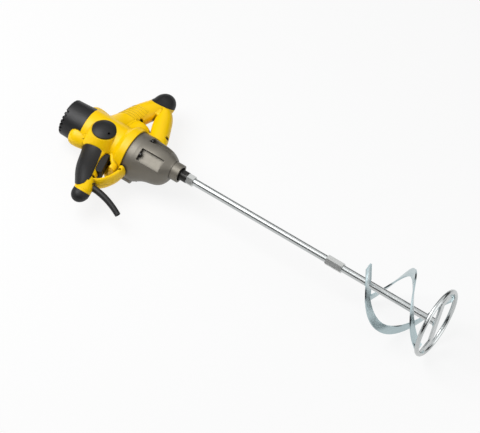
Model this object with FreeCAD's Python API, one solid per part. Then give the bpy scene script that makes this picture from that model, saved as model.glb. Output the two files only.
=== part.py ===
import FreeCAD, Part
import math
import os

# A two-handled mixing drill with its stirring paddle, lying on its back.
# X runs along the spindle towards the paddle, Y towards the plain handle,
# Z up, out of the front of the housing.  The origin is the middle of the
# front face of the nose collar, on the spindle axis.  Millimetres.

Vec = FreeCAD.Vector
ALONG_X = Vec(1, 0, 0)
ALONG_Y = Vec(0, 1, 0)
ALONG_Z = Vec(0, 0, 1)

# Shared gaps
running_gap = 0.05
seat_gap = 0.03
loose_gap = 0.3
overrun = 3.0

# Lay-out along the axis
motor_drop = 20.0
gear_housing_length = 108.0
gear_plate_thickness = 9.0
skirt_overlap = 3.0
barrel_length = 101.0
end_cap_length = 46.5

# Moulded housing
wall = 3.0
barrel_radius = 40.0
skirt_length = 12.0
flare_length = 16.0
skirt_wall = 3.2
cheek_length = 76.0
cheek_overhang = 19.0
cheek_middle = 14.0
cheek_half_width = 36.0
cheek_half_height = 24.0
cheek_round = 10.0
cheek_round_shares = ((0.0, 0.80), (0.35, 0.93), (1.0, 1.0))
handle_reach = 137.0
grip_lead = 61.0
grip_sweep = 37.5
grip_half_depth = 23.5
grip_half_height = 19.0
grip_root_shares = (
    (0.073, 0.0, 1.53, 1.85),
    (0.248, 0.027, 1.28, 1.42),
    (0.38, 0.133, 1.10, 1.10),
    (0.657, 0.44, 1.0, 1.0),
)
right_grip_end_shares = ((0.861, 0.787, 0.97, 0.98), (1.0, 1.0, 0.96, 0.98))
left_grip_end_shares = ((0.861, 0.787, 0.87, 0.91), (1.03, 1.0, 0.74, 0.83))
grip_end_share = 0.985
rib_count = 6
rib_pitch = 6.0
rib_width = 2.4
rib_proud = 0.5
rib_start = 61.0
rib_front_lead = 30.0
pedestal_radius = 25.5
pedestal_foot_radius = 40.0
front_pedestal_height = 37.0
rear_pedestal_height = 40.5
pedestal_foot_height = 10.0

# Handle guards and the shoulders beside the skirt: how far out as shares of
# the handle reach, how far ahead of the handle line as shares of the lead
right_guard_lead = 78.0
right_guard_half_width = 20.5
right_guard_half_height = 16.0
right_guard_shares = (
    (0.354, 1.0, 1.05, 0.94), (0.423, 0.994, 1.0, 0.97), (0.635, 0.853, 0.98, 1.0),
    (0.774, 0.763, 0.90, 1.0), (0.88, 0.667, 0.84, 0.97), (0.955, 0.55, 0.70, 0.85),
)
left_guard_lead = 68.0
left_guard_half_width = 6.8
left_guard_half_height = 15.0
left_guard_shares = (
    (0.354, 0.985, 1.25, 1.0), (0.453, 1.0, 1.0, 1.0), (0.555, 0.956, 1.0, 1.0),
    (0.672, 0.853, 1.0, 0.97), (0.745, 0.735, 1.15, 0.93), (0.79, 0.45, 1.2, 0.80),
)
shoulder_lead = 41.0
shoulder_half_depth = 19.0
shoulder_half_height = 20.0
right_shoulder_shares = (
    (0.146, 0.85, 1.5, 0.0, 1.55), (0.336, 0.83, 1.3, 0.0, 1.02),
    (0.423, 0.87, 1.13, 0.0, 0.93), (0.456, 0.89, 1.05, 0.0, 0.88),
)
left_shoulder_shares = (
    (0.146, 0.95, 1.37, 0.0, 1.5), (0.336, 1.07, 1.0, -0.4, 1.15),
    (0.423, 1.17, 0.84, -0.45, 1.1), (0.467, 1.25, 0.68, -0.45, 1.0),
)

# Screws that close the shells
shell_screw_radius = 1.8
shell_screw_head_radius = 3.0
shell_screw_head_height = 2.4
shell_screw_seat = 3.5
shell_screw_depth = 6.5
shell_boss_radius = 4.4
shell_screw_clearance = 0.3
right_shell_screws = ((30.0, 71.0), (91.5, 66.0))
left_shell_screws = ((38.0, 103.0), (66.5, 58.0))

# Bumpers
front_bumper_offset = 14.5
bumper_radius = 23.5
bumper_rim = 2.5
front_bumper_height = 9.5
rear_bumper_height = 9.5
rear_bumper_flat_radius = 17.0
right_end_length = 27.0
right_end_lead = 3.0
right_end_slant = 50.0
left_end_length = 21.0
left_end_lead = -1.0
left_end_slant = 38.0
bumper_screw_radius = 1.5
bumper_screw_head_radius = 2.6
bumper_screw_head_height = 1.6
bumper_screw_offset = 14.5
bumper_screw_side = 7.0
bumper_screw_seat = 2.0
bumper_screw_grip = 2.0

# Grip pad
pad_proud = 0.8
pad_recess = 1.0
pad_start = 46.5
pad_front_shares = (
    (1.0, 0.485), (2.32, 0.977), (2.54, 1.0), (2.56, 0.94), (2.80, 0.93),
    (2.93, 0.80), (3.01, 0.55), (3.03, -0.053),
)
pad_front_lead = 37.5
pad_end_band = 6.0
pad_gap = 0.1

# Trigger and switch
trigger_start = 40.0
trigger_end = 87.0
trigger_half_width = 13.0
trigger_gap = 0.4
trigger_nose_lead = 36.0
trigger_top_lead = 34.5
trigger_bottom_lead = 44.5
trigger_chin_lead = 41.0
trigger_chin = 4.0
trigger_root_lead = 16.0
trigger_slot_lead = 47.0
trigger_edge = 1.2
trigger_travel = 6.0
switch_gap = 1.0
switch_depth = 15.0
switch_start = 46.0
switch_end = 72.0
switch_half_height = 9.0
plunger_radius = 3.0
plunger_engagement = 5.0
plunger_gap = 0.35
cradle_thickness = 2.5
cradle_inset = 4.0

# Cord boot
boot_root_radius = 6.6
boot_tip_radius = 5.6
boot_bore_radius = 3.5
boot_mouth_radius = 4.0
boot_mouth_depth = 12.0
boot_flange_radius = 9.4
boot_flange_thickness = 3.0
boot_root_lead = 47.0
boot_neck = 7.0
boot_reach_share = 0.86
boot_length = 64.0
boot_lean = 6.0
boot_swing = 11.0
boot_droop = 10.0
boot_station_shares = (0.0, 0.2, 0.4, 0.6, 0.8, 1.0)
boot_gap = 0.15

# Motor end cap
end_cap_radius = 38.5
end_cap_wall = 3.0
end_cap_rear_wall = 4.0
end_cap_rear_radius = 36.3
end_cap_round = 3.5
end_cap_spigot_length = 6.0
vent_count = 26
vent_width = 4.4
vent_half_angle = 66.0
vent_length = 7.0
vent_inner_radius = 28.0
end_cap_screw_circle = 33.0
end_cap_screw_angles = (32.0, 212.0)
end_cap_screw_radius = 2.0
end_cap_screw_head_radius = 3.4
end_cap_screw_head_height = 2.4
end_cap_screw_seat = 9.0
end_cap_screw_grip = 5.0
end_cap_pillar_radius = 4.2
end_cap_boss_wall = 3.0

# Motor
stator_lead = 26.0
stator_length = 48.0
stator_slot_radius = 31.0
pole_shoe_thickness = 3.4
pole_half_angle = 52.0
pole_neck_half_angle = 25.0
field_coil_overhang = 8.0
field_coil_gap = 0.4
field_coil_half_angle = 38.0
armature_radius = 20.0
armature_overlap = 1.0
air_gap = 0.6
armature_slot_count = 12
armature_slot_width = 2.4
armature_slot_depth = 7.0
winding_radius = 17.0
winding_inner_radius = 8.0
winding_length = 7.0
winding_round = 2.5
shaft_radius = 5.0
shaft_journal_radius = 4.0
shaft_neck_radius = 3.3
commutator_radius = 13.0
commutator_length = 13.0
commutator_bar_count = 24
commutator_slot_width = 0.8
commutator_slot_depth = 2.0
commutator_gap = 1.5
fan_radius = 33.0
fan_plate_thickness = 2.0
fan_width = 9.0
fan_hub_radius = 9.0
fan_blade_count = 12
fan_blade_thickness = 1.6
fan_blade_inner_radius = 17.0
fan_gap = 2.0
baffle_thickness = 2.0
baffle_inner_radius = 25.0
baffle_gap = 2.0
brush_half_width = 3.2
brush_half_length = 4.2
brush_length = 13.0
brush_gap = 0.35
brush_holder_wall = 1.4
brush_holder_gap = 1.5
brush_slide_gap = 0.1
brush_plug_length = 2.0
armature_bearing_radius = 9.5
armature_bearing_width = 6.0
rear_bearing_gap = 1.0
bearing_groove_share = 0.12

# Gear train
pressure_angle = 25.0
addendum_share = 0.8
dedendum_share = 1.05
backlash = 0.24
first_module = 0.85
first_pinion_teeth = 10
first_wheel_teeth = 40
second_module = 0.9
second_pinion_teeth = 10
second_wheel_teeth = 40
first_wheel_width = 7.0
second_wheel_width = 12.0
pinion_overlap = 1.0
gear_start_gap = 1.2
stage_gap = 2.5
countershaft_radius = 5.0
countershaft_journal_radius = 4.0
countershaft_bearing_radius = 8.0
countershaft_bearing_width = 6.0
shaft_end_gap = 0.4

# Gear housing
gear_flange_radius = 46.5
gear_wall = 4.0
collar_radius = 17.75
collar_root_setback = 30.0
gear_housing_station_shares = (
    (1.0, 1.0, 1.0),
    (0.84, 1.0, 1.0),
    (0.64, 0.77, 0.905),
    (0.43, 0.545, 0.815),
    (0.29, 0.50, 0.715),
    (0.20, 0.33, 0.56),
    (0.155, 0.05, 0.425),
)
gear_cavity_front_share = 0.57
gear_screw_circle = 41.5
gear_screw_angles = (60.0, 120.0, 240.0, 300.0)
gear_screw_radius = 2.5
gear_screw_head_radius = 4.2
gear_screw_head_height = 4.0
gear_screw_clearance = 0.3
gear_screw_grip = 6.0
gear_screw_seat = 26.0
gear_boss_radius = 4.6
channel_half_width = 12.5
channel_floor_radius = 37.0
channel_wall = 3.0
channel_front_setback = 34.0
lug_radius = 9.0
lug_length = 20.0
lug_circle = 43.0
lug_angles = (225.0, 315.0)

# Spindle
spindle_radius = 9.0
spindle_tail_radius = 4.0
spindle_bush_radius = 6.4
spindle_bush_length = 7.0
spindle_nose_radius = 10.6
spindle_nose_length = 15.6
spindle_flat_half_width = 9.5
spindle_flat_setback = 3.0
spindle_flat_length = 9.0
spindle_bearing_radius = 17.5
spindle_bearing_width = 10.0
spindle_bearing_share = 0.389
spindle_shoulder_gap = 0.5
spindle_bore_depth = 26.0
collar_bore_radius = 12.0
seal_radius = 14.0
seal_length = 7.0
seal_recess = 5.0
circlip_thickness = 1.4
circlip_width = 3.2
circlip_groove_depth = 1.0
key_width = 4.0
key_depth = 2.0
key_gap = 0.03

# Paddle
rod_radius = 7.0
rod_engagement = 24.0
rod_nut_half_width = 9.5
rod_nut_length = 13.9
ring_setback = 567.0
ring_outer_radius = 70.0
ring_wire_radius = 4.5
sleeve_start = 327.0
sleeve_length = 34.4
sleeve_half_width = 9.0
rod_joint_gap = 1.0
cross_bar_width = 16.0
cross_bar_thickness = 4.0
cross_bar_angle = 77.0
cross_bar_end_angle = 46.0
cross_bar_straight = 46.0
weld_gap = 0.05
ribbon_outer_radius = 67.0
ribbon_width = 17.0
ribbon_thickness = 3.5
ribbon_start = 418.0
ribbon_start_angle = 103.0
ribbon_pitch = 195.0
ribbon_station_count = 12
arm_width = 16.0
arm_thickness = 3.5

# Places worked out from the sizes above
motor_z = -motor_drop
gear_rear = -gear_housing_length
plate_rear = gear_rear - gear_plate_thickness
skirt_front = gear_rear + skirt_overlap
barrel_rear = skirt_front - barrel_length
cap_rear = barrel_rear - end_cap_length
cap_inner_radius = end_cap_radius - end_cap_wall
spigot_front = barrel_rear + end_cap_spigot_length
bore_radius = barrel_radius - wall
spigot_radius = bore_radius - loose_gap
spigot_inner_radius = spigot_radius - end_cap_wall
skirt_bore_radius = gear_flange_radius + loose_gap
skirt_radius = skirt_bore_radius + skirt_wall
cheek_rear = barrel_rear - cheek_overhang
grip_x = skirt_front - grip_lead
right_end_reach = handle_reach + right_end_lead
left_end_reach = handle_reach + left_end_lead
right_grip_shares = grip_root_shares + right_grip_end_shares
left_grip_shares = grip_root_shares + left_grip_end_shares
trigger_root = grip_x + trigger_root_lead
trigger_slot_rear = trigger_root - trigger_travel - 2 * switch_gap
switch_front = trigger_root - trigger_travel - switch_gap
switch_rear = switch_front - switch_depth
boot_reach = handle_reach * boot_reach_share
stator_front = plate_rear - stator_lead
stator_rear = stator_front - stator_length
armature_front = stator_front + armature_overlap
armature_rear = stator_rear - armature_overlap
commutator_front = armature_rear - winding_length - commutator_gap
commutator_rear = commutator_front - commutator_length
brush_x = (commutator_front + commutator_rear) / 2
fan_front = plate_rear - fan_gap
fan_rear = fan_front - fan_width
baffle_front = fan_rear - baffle_gap
rear_bearing_start = cap_rear + end_cap_rear_wall + rear_bearing_gap
rear_bearing_end = rear_bearing_start + armature_bearing_width
front_bearing_end = plate_rear + armature_bearing_width
first_distance = first_module * (first_pinion_teeth + first_wheel_teeth) / 2
second_distance = second_module * (second_pinion_teeth + second_wheel_teeth) / 2
counter_z = (first_distance**2 - second_distance**2 - motor_drop**2) / (2 * motor_drop)
counter_y = -math.sqrt(second_distance**2 - counter_z**2)
first_wheel_start = gear_rear + gear_start_gap
first_wheel_end = first_wheel_start + first_wheel_width
second_wheel_start = first_wheel_end + stage_gap
second_wheel_end = second_wheel_start + second_wheel_width
cavity_front = -gear_housing_length * gear_cavity_front_share
screw_seat_x = gear_rear + gear_screw_seat
spindle_bearing_front = -gear_housing_length * spindle_bearing_share
spindle_bearing_rear = spindle_bearing_front - spindle_bearing_width
ring_radius = ring_outer_radius - ring_wire_radius
sleeve_middle = sleeve_start + sleeve_length / 2
bar_start = ring_setback - cross_bar_thickness / 2
boot_root = grip_x + boot_root_lead
bumper_seats = (
    (1, -front_bumper_offset, front_pedestal_height),
    (-1, 0, rear_pedestal_height),
)


def cylinder_x(start, end, radius, y=0.0, z=0.0):
    """A cylinder along X."""
    return Part.makeCylinder(radius, end - start, Vec(start, y, z), ALONG_X)


def tube_x(start, end, outer, inner, y=0.0, z=0.0):
    """A plain tube along X."""
    hole = cylinder_x(start - overrun, end + overrun, inner, y, z)
    return cylinder_x(start, end, outer, y, z).cut(hole)


def cylinder_z(bottom, top, radius, x, y):
    """A cylinder along Z, its ends measured from the motor axis."""
    return Part.makeCylinder(radius, top - bottom, Vec(x, y, motor_z + bottom), ALONG_Z)


def block(x_range, y_range, z_range):
    """A box between two corners."""
    corner = Vec(min(x_range), min(y_range), min(z_range))
    size = [abs(r[1] - r[0]) for r in (x_range, y_range, z_range)]
    return Part.makeBox(size[0], size[1], size[2], corner)


def joined(shapes):
    """All the shapes as one solid."""
    return shapes[0].multiFuse(shapes[1:])


def group(shapes):
    """Separate solids kept together in one node."""
    return Part.makeCompound(shapes)


def outline_edges(start, steps):
    """Lines and arcs from point to point; a step with a middle point is an arc."""
    edges = []
    here = start
    for step in steps:
        if len(step) == 2:
            edges.append(Part.Arc(here, step[0], step[1]).toShape())
        else:
            edges.append(Part.makeLine(here, step[0]))
        here = step[-1]
    return edges


def turned(points, y=0.0, z=0.0):
    """The solid that an (x, radius) outline sweeps round an X axis."""
    corners = [Vec(x, y, z + radius) for x, radius in points]
    face = Part.Face(Part.makePolygon(corners + corners[:1]))
    return face.revolve(Vec(0, y, z), ALONG_X, 360)


def polygon_prism(corners, direction):
    """A flat outline pushed out along a direction."""
    return Part.Face(Part.makePolygon(corners + corners[:1])).extrude(direction)


def polar(radius, degrees, x=0.0, y=0.0, z=0.0):
    """A point on a circle about an X axis, the angle going from Y to Z."""
    angle = math.radians(degrees)
    return Vec(x, y + radius * math.cos(angle), z + radius * math.sin(angle))


def about_motor(radius, degrees):
    """The y and z of a point on a circle about the motor axis."""
    point = polar(radius, degrees, 0, 0, motor_z)
    return point.y, point.z


def hexagon_x(start, end, half_width):
    """A hexagonal bar on the spindle axis, by half its width across flats."""
    corner_radius = half_width / math.cos(math.pi / 6)
    corners = [polar(corner_radius, 60 * i, start) for i in range(6)]
    return polygon_prism(corners, Vec(end - start, 0, 0))


def sector_x(start, end, inner, outer, middle_angle, half_angle):
    """Part of a ring about the motor axis."""
    angles = (middle_angle - half_angle, middle_angle, middle_angle + half_angle)
    out = [polar(outer, a, start, 0, motor_z) for a in angles]
    back = [polar(inner, a, start, 0, motor_z) for a in angles]
    edges = outline_edges(out[0], ((out[1], out[2]), (back[2],), (back[1], back[0]), (out[0],)))
    return Part.Face(Part.Wire(edges)).extrude(Vec(end - start, 0, 0))


def ellipse_wire(middle, first, second):
    """An ellipse given by its middle and its two half axes."""
    if first.Length < second.Length:
        first, second = second, -first
    return Part.Wire(Part.Ellipse(middle + first, middle + second, middle).toShape())


def bearing(start, width, outer, inner, y, z):
    """A closed ball bearing, with the groove between its two races."""
    depth = width * bearing_groove_share
    end = start + width
    low = inner + (outer - inner) / 3
    high = outer - (outer - inner) / 3
    return turned((
        (start, inner), (start, low), (start + depth, low), (start + depth, high),
        (start, high), (start, outer), (end, outer), (end, high),
        (end - depth, high), (end - depth, low), (end, low), (end, inner),
    ), y, z)


def screw(seat, way, length, radius, head_radius, head_height):
    """A screw with its head standing back from the seat and its shank ahead."""
    head = Part.makeCylinder(head_radius, head_height, seat - way * head_height, way)
    shank = Part.makeCylinder(radius, length + head_height, seat - way * head_height, way)
    return joined([head, shank])


def gear(teeth, module, start, end, y, z, first_tooth):
    """A straight-toothed gear blank with stub involute teeth thinned by the backlash."""
    pitch = module * teeth / 2
    tilt = math.radians(pressure_angle)
    base = pitch * math.cos(tilt)
    tip = pitch + addendum_share * module
    root = pitch - dedendum_share * module
    low = max(base, root)

    def half_angle(radius):
        turn = math.acos(min(1.0, base / radius))
        flank = math.tan(tilt) - tilt - math.tan(turn) + turn
        return math.pi / (2 * teeth) - backlash / (4 * pitch) + flank

    flank = [(radius, half_angle(radius)) for radius in (low, (low + 2 * tip) / 3, tip)]
    if root < low:
        flank.insert(0, (root, half_angle(low)))
    corners = []
    for tooth in range(teeth):
        middle = math.radians(first_tooth) + 2 * math.pi * tooth / teeth
        rising = [(radius, middle - angle) for radius, angle in flank]
        falling = [(radius, middle + angle) for radius, angle in reversed(flank)]
        for radius, angle in rising + falling:
            corners.append(polar(radius, math.degrees(angle), start, y, z))
    return polygon_prism(corners, Vec(end - start, 0, 0))


def direction_angle(y, z):
    """The angle of a direction across the axis, from Y to Z, in degrees."""
    return math.degrees(math.atan2(z, y))


# Moulded housing

def grip(side, inset=0.0):
    """One handle: ellipses from inside the barrel out to its end."""
    wires = []
    shares = right_grip_shares if side > 0 else left_grip_shares
    for out_share, sweep_share, depth_share, height_share in shares:
        middle = Vec(grip_x + grip_sweep * sweep_share, side * handle_reach * out_share, motor_z)
        depth = Vec(grip_half_depth * depth_share - inset, 0, 0)
        height = Vec(0, 0, grip_half_height * height_share - inset)
        wires.append(ellipse_wire(middle, depth, height))
    return Part.makeLoft(wires, True)


def rounded_grip(side):
    """One handle with its round end, a hair slimmer than the handle there."""
    shares = right_grip_shares if side > 0 else left_grip_shares
    length = right_end_length if side > 0 else left_end_length
    out_share, sweep_share, depth_share, height_share = shares[-1]
    stretch = FreeCAD.Matrix()
    stretch.scale(
        grip_half_depth * depth_share * grip_end_share / length, 1,
        grip_half_height * height_share * grip_end_share / length)
    ball = Part.makeSphere(length, Vec(0, 0, 0), ALONG_Y).transformGeometry(stretch)
    ball.translate(Vec(grip_x + grip_sweep * sweep_share, side * handle_reach * out_share, motor_z))
    return grip(side).fuse(ball)


def past_end(side, short=0.0):
    """The room past the slanted face that the rubber end of a handle sits on."""
    reach = right_end_reach if side > 0 else left_end_reach
    slant = right_end_slant if side > 0 else left_end_slant
    room = block(
        (cap_rear, 0), (-side * short, side * handle_reach), (-handle_reach, handle_reach))
    room.rotate(Vec(0, 0, 0), ALONG_X, slant)
    room.translate(Vec(0, side * reach, motor_z))
    return room


def grip_ribs():
    """Fine ribs across the rear of the plain handle."""
    skin = grip(1, -rib_proud).cut(grip(1, rib_proud))
    ribs = []
    for number in range(rib_count):
        start = rib_start + rib_pitch * number
        ribs.append(skin.common(block(
            (cap_rear, grip_x + rib_front_lead), (start, start + rib_width),
            (motor_z - handle_reach, motor_z + handle_reach))))
    return ribs


def shoulder(side, shares):
    """The swelling that joins a handle to the skirt beside the barrel."""
    wires = []
    for out_share, lead_share, depth_share, rise_share, height_share in shares:
        middle = Vec(
            grip_x + shoulder_lead * lead_share, side * handle_reach * out_share,
            motor_z + shoulder_half_height * rise_share)
        depth = Vec(shoulder_half_depth * depth_share, 0, 0)
        height = Vec(0, 0, shoulder_half_height * height_share)
        wires.append(ellipse_wire(middle, depth, height))
    return Part.makeLoft(wires, True)


def cheek(side):
    """The bulge on one side of the barrel that reaches back over the end cap."""
    stations = [(cheek_rear + cheek_round * a, b) for a, b in cheek_round_shares]
    wires = []
    for x, share in stations + [(cheek_rear + cheek_length, 1.0)]:
        middle = Vec(x, side * cheek_middle, motor_z)
        across = Vec(0, cheek_half_width * share, 0)
        high = Vec(0, 0, cheek_half_height * share)
        wires.append(ellipse_wire(middle, across, high))
    return Part.makeLoft(wires, True)


def guard(side, shares, lead, half_width, half_height):
    """The bar that closes one handle loop back to the front skirt."""
    wires = []
    for out_share, lead_share, width_share, height_share in shares:
        middle = Vec(grip_x + lead * lead_share, side * handle_reach * out_share, motor_z)
        width = Vec(half_width * width_share, 0, 0)
        height = Vec(0, 0, half_height * height_share)
        wires.append(ellipse_wire(middle, width, height))
    return Part.makeLoft(wires, True)


def barrel():
    """The round motor housing, flaring to the skirt round the gear flange."""
    flare_end = skirt_front - skirt_length
    flare_start = flare_end - flare_length
    flare_middle = (flare_start + flare_end) / 2
    curve = Part.BezierCurve()
    curve.setPoles([
        Vec(flare_start, 0, motor_z + barrel_radius),
        Vec(flare_middle, 0, motor_z + barrel_radius),
        Vec(flare_middle, 0, motor_z + skirt_radius),
        Vec(flare_end, 0, motor_z + skirt_radius),
    ])
    rear_axis = Vec(barrel_rear, 0, motor_z)
    rear_rim = Vec(barrel_rear, 0, motor_z + barrel_radius)
    front_rim = Vec(skirt_front, 0, motor_z + skirt_radius)
    front_axis = Vec(skirt_front, 0, motor_z)
    edges = outline_edges(rear_axis, ((rear_rim,), (Vec(flare_start, 0, rear_rim.z),)))
    edges.append(curve.toShape())
    edges += outline_edges(Vec(flare_end, 0, front_rim.z), ((front_rim,), (front_axis,), (rear_axis,)))
    return Part.Face(Part.Wire(edges)).revolve(rear_axis, ALONG_X, 360)


def pedestal(side, y, height):
    """The raised seat of a round bumper, blending down into the barrel."""
    rise = height - pedestal_foot_height
    foot = Vec(grip_x, y, motor_z + side * pedestal_foot_height)
    return Part.makeCone(pedestal_foot_radius, pedestal_radius, rise, foot, ALONG_Z * side)


def housing_outside():
    pieces = [barrel(), cheek(1), cheek(-1)]
    pieces += [rounded_grip(1), rounded_grip(-1)]
    pieces += [
        guard(1, right_guard_shares, right_guard_lead, right_guard_half_width, right_guard_half_height),
        guard(-1, left_guard_shares, left_guard_lead, left_guard_half_width, left_guard_half_height),
        shoulder(1, right_shoulder_shares), shoulder(-1, left_shoulder_shares),
    ]
    pieces += [pedestal(*seat) for seat in bumper_seats] + grip_ribs()
    cap_room = cylinder_x(cap_rear, barrel_rear, end_cap_radius + loose_gap, 0, motor_z)
    gear_room = cylinder_x(skirt_front, 0, skirt_bore_radius + loose_gap, 0, motor_z)
    outside = joined(pieces)
    for room in (cap_room, gear_room, past_end(1), past_end(-1)):
        outside = outside.cut(room)
    return outside


def motor_room():
    """The bore that takes the motor, stepped out to the seat of the gear plate."""
    bore = cylinder_x(barrel_rear - overrun, plate_rear, bore_radius, 0, motor_z)
    seat = cylinder_x(plate_rear, skirt_front + overrun, skirt_bore_radius, 0, motor_z)
    return joined([bore, seat])


def grip_room(side):
    """The hollow of one handle, stopped short of the end of the handle."""
    reach = side * (handle_reach - wall)
    keep = block((cap_rear, 0), (0, reach), (motor_z - handle_reach, motor_z + handle_reach))
    return grip(side, wall).common(keep).cut(past_end(side, wall))


def trigger_slot():
    """The opening in the trigger handle that the trigger slides in."""
    half_height = trigger_half_width + trigger_gap
    return block(
        (grip_x + trigger_slot_lead, trigger_slot_rear),
        (-trigger_start + trigger_gap, -trigger_end - trigger_gap),
        (motor_z - half_height, motor_z + half_height),
    )


def switch_block(gap=0.0):
    return block(
        (switch_front + gap, switch_rear - gap),
        (-switch_start + gap, -switch_end - gap),
        (motor_z - switch_half_height - gap, motor_z + switch_half_height + gap),
    )


def switch_cradles(outside):
    """Two ribs across the trigger handle that hold the switch."""
    ribs = []
    high = (motor_z - grip_half_height, motor_z + grip_half_height)
    deep = (switch_front, switch_rear - grip_half_depth)
    for y in (-switch_start - cradle_inset, -switch_end + cradle_inset):
        across = (y - cradle_thickness / 2, y + cradle_thickness / 2)
        ribs.append(block(deep, across, high).common(outside))
    return ribs


def shell_screw_places():
    places = [(grip_x + lead, out) for lead, out in right_shell_screws]
    return places + [(grip_x + lead, -out) for lead, out in left_shell_screws]


def boot_path(share):
    """The middle line of the cord boot outside the handle."""
    x = boot_root + boot_neck + boot_length * share
    y = -boot_reach - boot_lean * share - boot_swing * share**2
    return Vec(x, y, motor_z - boot_droop * share**2)


def boot_heading(share):
    """The way that line runs; it leaves the handle square."""
    if share == 0:
        return ALONG_X
    heading = Vec(boot_length, -boot_lean - 2 * boot_swing * share, -2 * boot_droop * share)
    return heading.normalize()


def pad_zone():
    """The part of the trigger handle that the soft pad covers, as an upright prism."""
    far = cap_rear
    corners = [Vec(far, -pad_start, 0)]
    for out_share, lead_share in pad_front_shares:
        corners.append(Vec(grip_x + pad_front_lead * lead_share, -pad_start * out_share, 0))
    corners.append(Vec(far, corners[-1].y, 0))
    for corner in corners:
        corner.z = motor_z - handle_reach
    zone = polygon_prism(corners, Vec(0, 0, 2 * handle_reach))
    return zone.cut(past_end(-1, pad_end_band))


def grip_pad():
    skin = grip(-1, -pad_proud).cut(grip(-1, pad_recess))
    return skin.common(pad_zone()).cut(trigger_slot())


def housing_shells():
    """The two mouldings, front and rear, parted on the plane of the handles."""
    outside = housing_outside()
    body = outside.cut(motor_room()).cut(grip_room(1)).cut(grip_room(-1))
    bosses = []
    holes = []
    for x, y in shell_screw_places():
        bosses.append(cylinder_z(-shell_screw_depth - wall, shell_screw_seat, shell_boss_radius, x, y))
        holes.append(cylinder_z(
            shell_screw_seat, handle_reach, shell_screw_head_radius + shell_screw_clearance, x, y))
        holes.append(cylinder_z(0, shell_screw_seat, shell_screw_radius + shell_screw_clearance, x, y))
        holes.append(cylinder_z(-shell_screw_depth, 0, shell_screw_radius + seat_gap, x, y))
    for angle in gear_screw_angles:
        y, z = about_motor(gear_screw_circle, angle)
        end = plate_rear - gear_screw_grip
        bosses.append(cylinder_x(end - wall, plate_rear, gear_boss_radius, y, z))
        holes.append(cylinder_x(end, plate_rear, gear_screw_radius + seat_gap, y, z))
    for angle in end_cap_screw_angles:
        y, z = about_motor(end_cap_screw_circle, angle)
        end = spigot_front + end_cap_screw_grip
        bosses.append(cylinder_x(spigot_front + loose_gap, end, end_cap_pillar_radius, y, z))
        holes.append(cylinder_x(spigot_front, end, end_cap_screw_radius + seat_gap, y, z))
    bosses = [boss.common(outside) for boss in bosses] + switch_cradles(outside)
    body = joined([body] + bosses)
    flange_start = boot_root - boot_flange_thickness
    boot_hole = cylinder_x(boot_root - overrun, 0, boot_root_radius + boot_gap, -boot_reach, motor_z)
    boot_seat = cylinder_x(
        flange_start - overrun, boot_root + boot_gap, boot_flange_radius + boot_gap,
        -boot_reach, motor_z)
    bumper_holes = []
    for side, y, height in bumper_seats:
        x = grip_x + bumper_screw_offset
        bottom = height - bumper_screw_grip
        ends = sorted((side * bottom, side * (height + overrun)))
        bumper_holes.append(cylinder_z(
            ends[0], ends[1], bumper_screw_radius + seat_gap, x, y - bumper_screw_side))
    pad_room = grip(-1, -pad_proud).cut(grip(-1, pad_recess + pad_gap)).common(pad_zone())
    cuts = holes + bumper_holes + [trigger_slot(), boot_hole, boot_seat, switch_block(seat_gap), pad_room]
    for cut in cuts:
        body = body.cut(cut)
    span = (-handle_reach * 2, handle_reach * 2)
    depth = (cap_rear, 0)
    front = body.common(block(depth, span, (motor_z, motor_z + handle_reach)))
    rear = body.common(block(depth, span, (motor_z - handle_reach, motor_z)))
    return front, rear


# Bumpers, pad and boot

def front_bumper():
    """A round rubber dome on the front seat."""
    base = motor_z + front_pedestal_height
    x = grip_x
    crown = base + front_bumper_height
    shoulder = Vec(x + bumper_radius, 0, base + bumper_rim)
    rise = (front_bumper_height - bumper_rim)
    ball = (bumper_radius**2 + rise**2) / (2 * rise)
    half = math.asin(bumper_radius / ball) / 2
    middle = Vec(x + ball * math.sin(half), 0, crown - ball + ball * math.cos(half))
    edges = outline_edges(Vec(x, 0, base), (
        (Vec(x + bumper_radius, 0, base),), (shoulder,), (middle, Vec(x, 0, crown)),
        (Vec(x, 0, base),)))
    dome = Part.Face(Part.Wire(edges)).revolve(Vec(x, 0, base), ALONG_Z, 360)
    dome.translate(Vec(0, -front_bumper_offset, 0))
    return dome.cut(bumper_screw_hole(*bumper_seats[0])).cut(barrel_top())


def rear_bumper():
    """The rubber foot on the back, flat where it rests."""
    base = motor_z - rear_pedestal_height
    low = base - rear_bumper_height
    rim = base - bumper_rim
    x = grip_x
    corners = (
        (0, base), (bumper_radius, base), (bumper_radius, rim), (rear_bumper_flat_radius, low), (0, low),
    )
    points = [Vec(x + radius, 0, z) for radius, z in corners]
    foot = Part.Face(Part.makePolygon(points + points[:1])).revolve(Vec(x, 0, 0), ALONG_Z, 360)
    return foot.cut(bumper_screw_hole(*bumper_seats[1]))


def barrel_top():
    """The room that the barrel takes under the front bumper."""
    return cylinder_x(barrel_rear, skirt_front, barrel_radius + seat_gap, 0, motor_z)


def bumper_screw_hole(side, y, height):
    """The stepped hole of a bumper screw, open outwards."""
    x = grip_x + bumper_screw_offset
    y -= bumper_screw_side
    seat = height + bumper_screw_seat
    shank = sorted((side * (height - overrun), side * (seat + overrun)))
    head = sorted((side * seat, side * handle_reach))
    return joined([
        cylinder_z(shank[0], shank[1], bumper_screw_radius + loose_gap, x, y),
        cylinder_z(head[0], head[1], bumper_screw_head_radius + loose_gap, x, y),
    ])


def bumper_screws():
    screws = []
    for side, y, height in bumper_seats:
        z = motor_z + side * (height + bumper_screw_seat)
        seat = Vec(grip_x + bumper_screw_offset, y - bumper_screw_side, z)
        length = bumper_screw_seat + bumper_screw_grip
        screws.append(screw(
            seat, ALONG_Z * -side, length, bumper_screw_radius,
            bumper_screw_head_radius, bumper_screw_head_height))
    return group(screws)


def end_bumper(side):
    """The rubber end of one handle, on a slanted face."""
    return rounded_grip(side).common(past_end(side))


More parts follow.
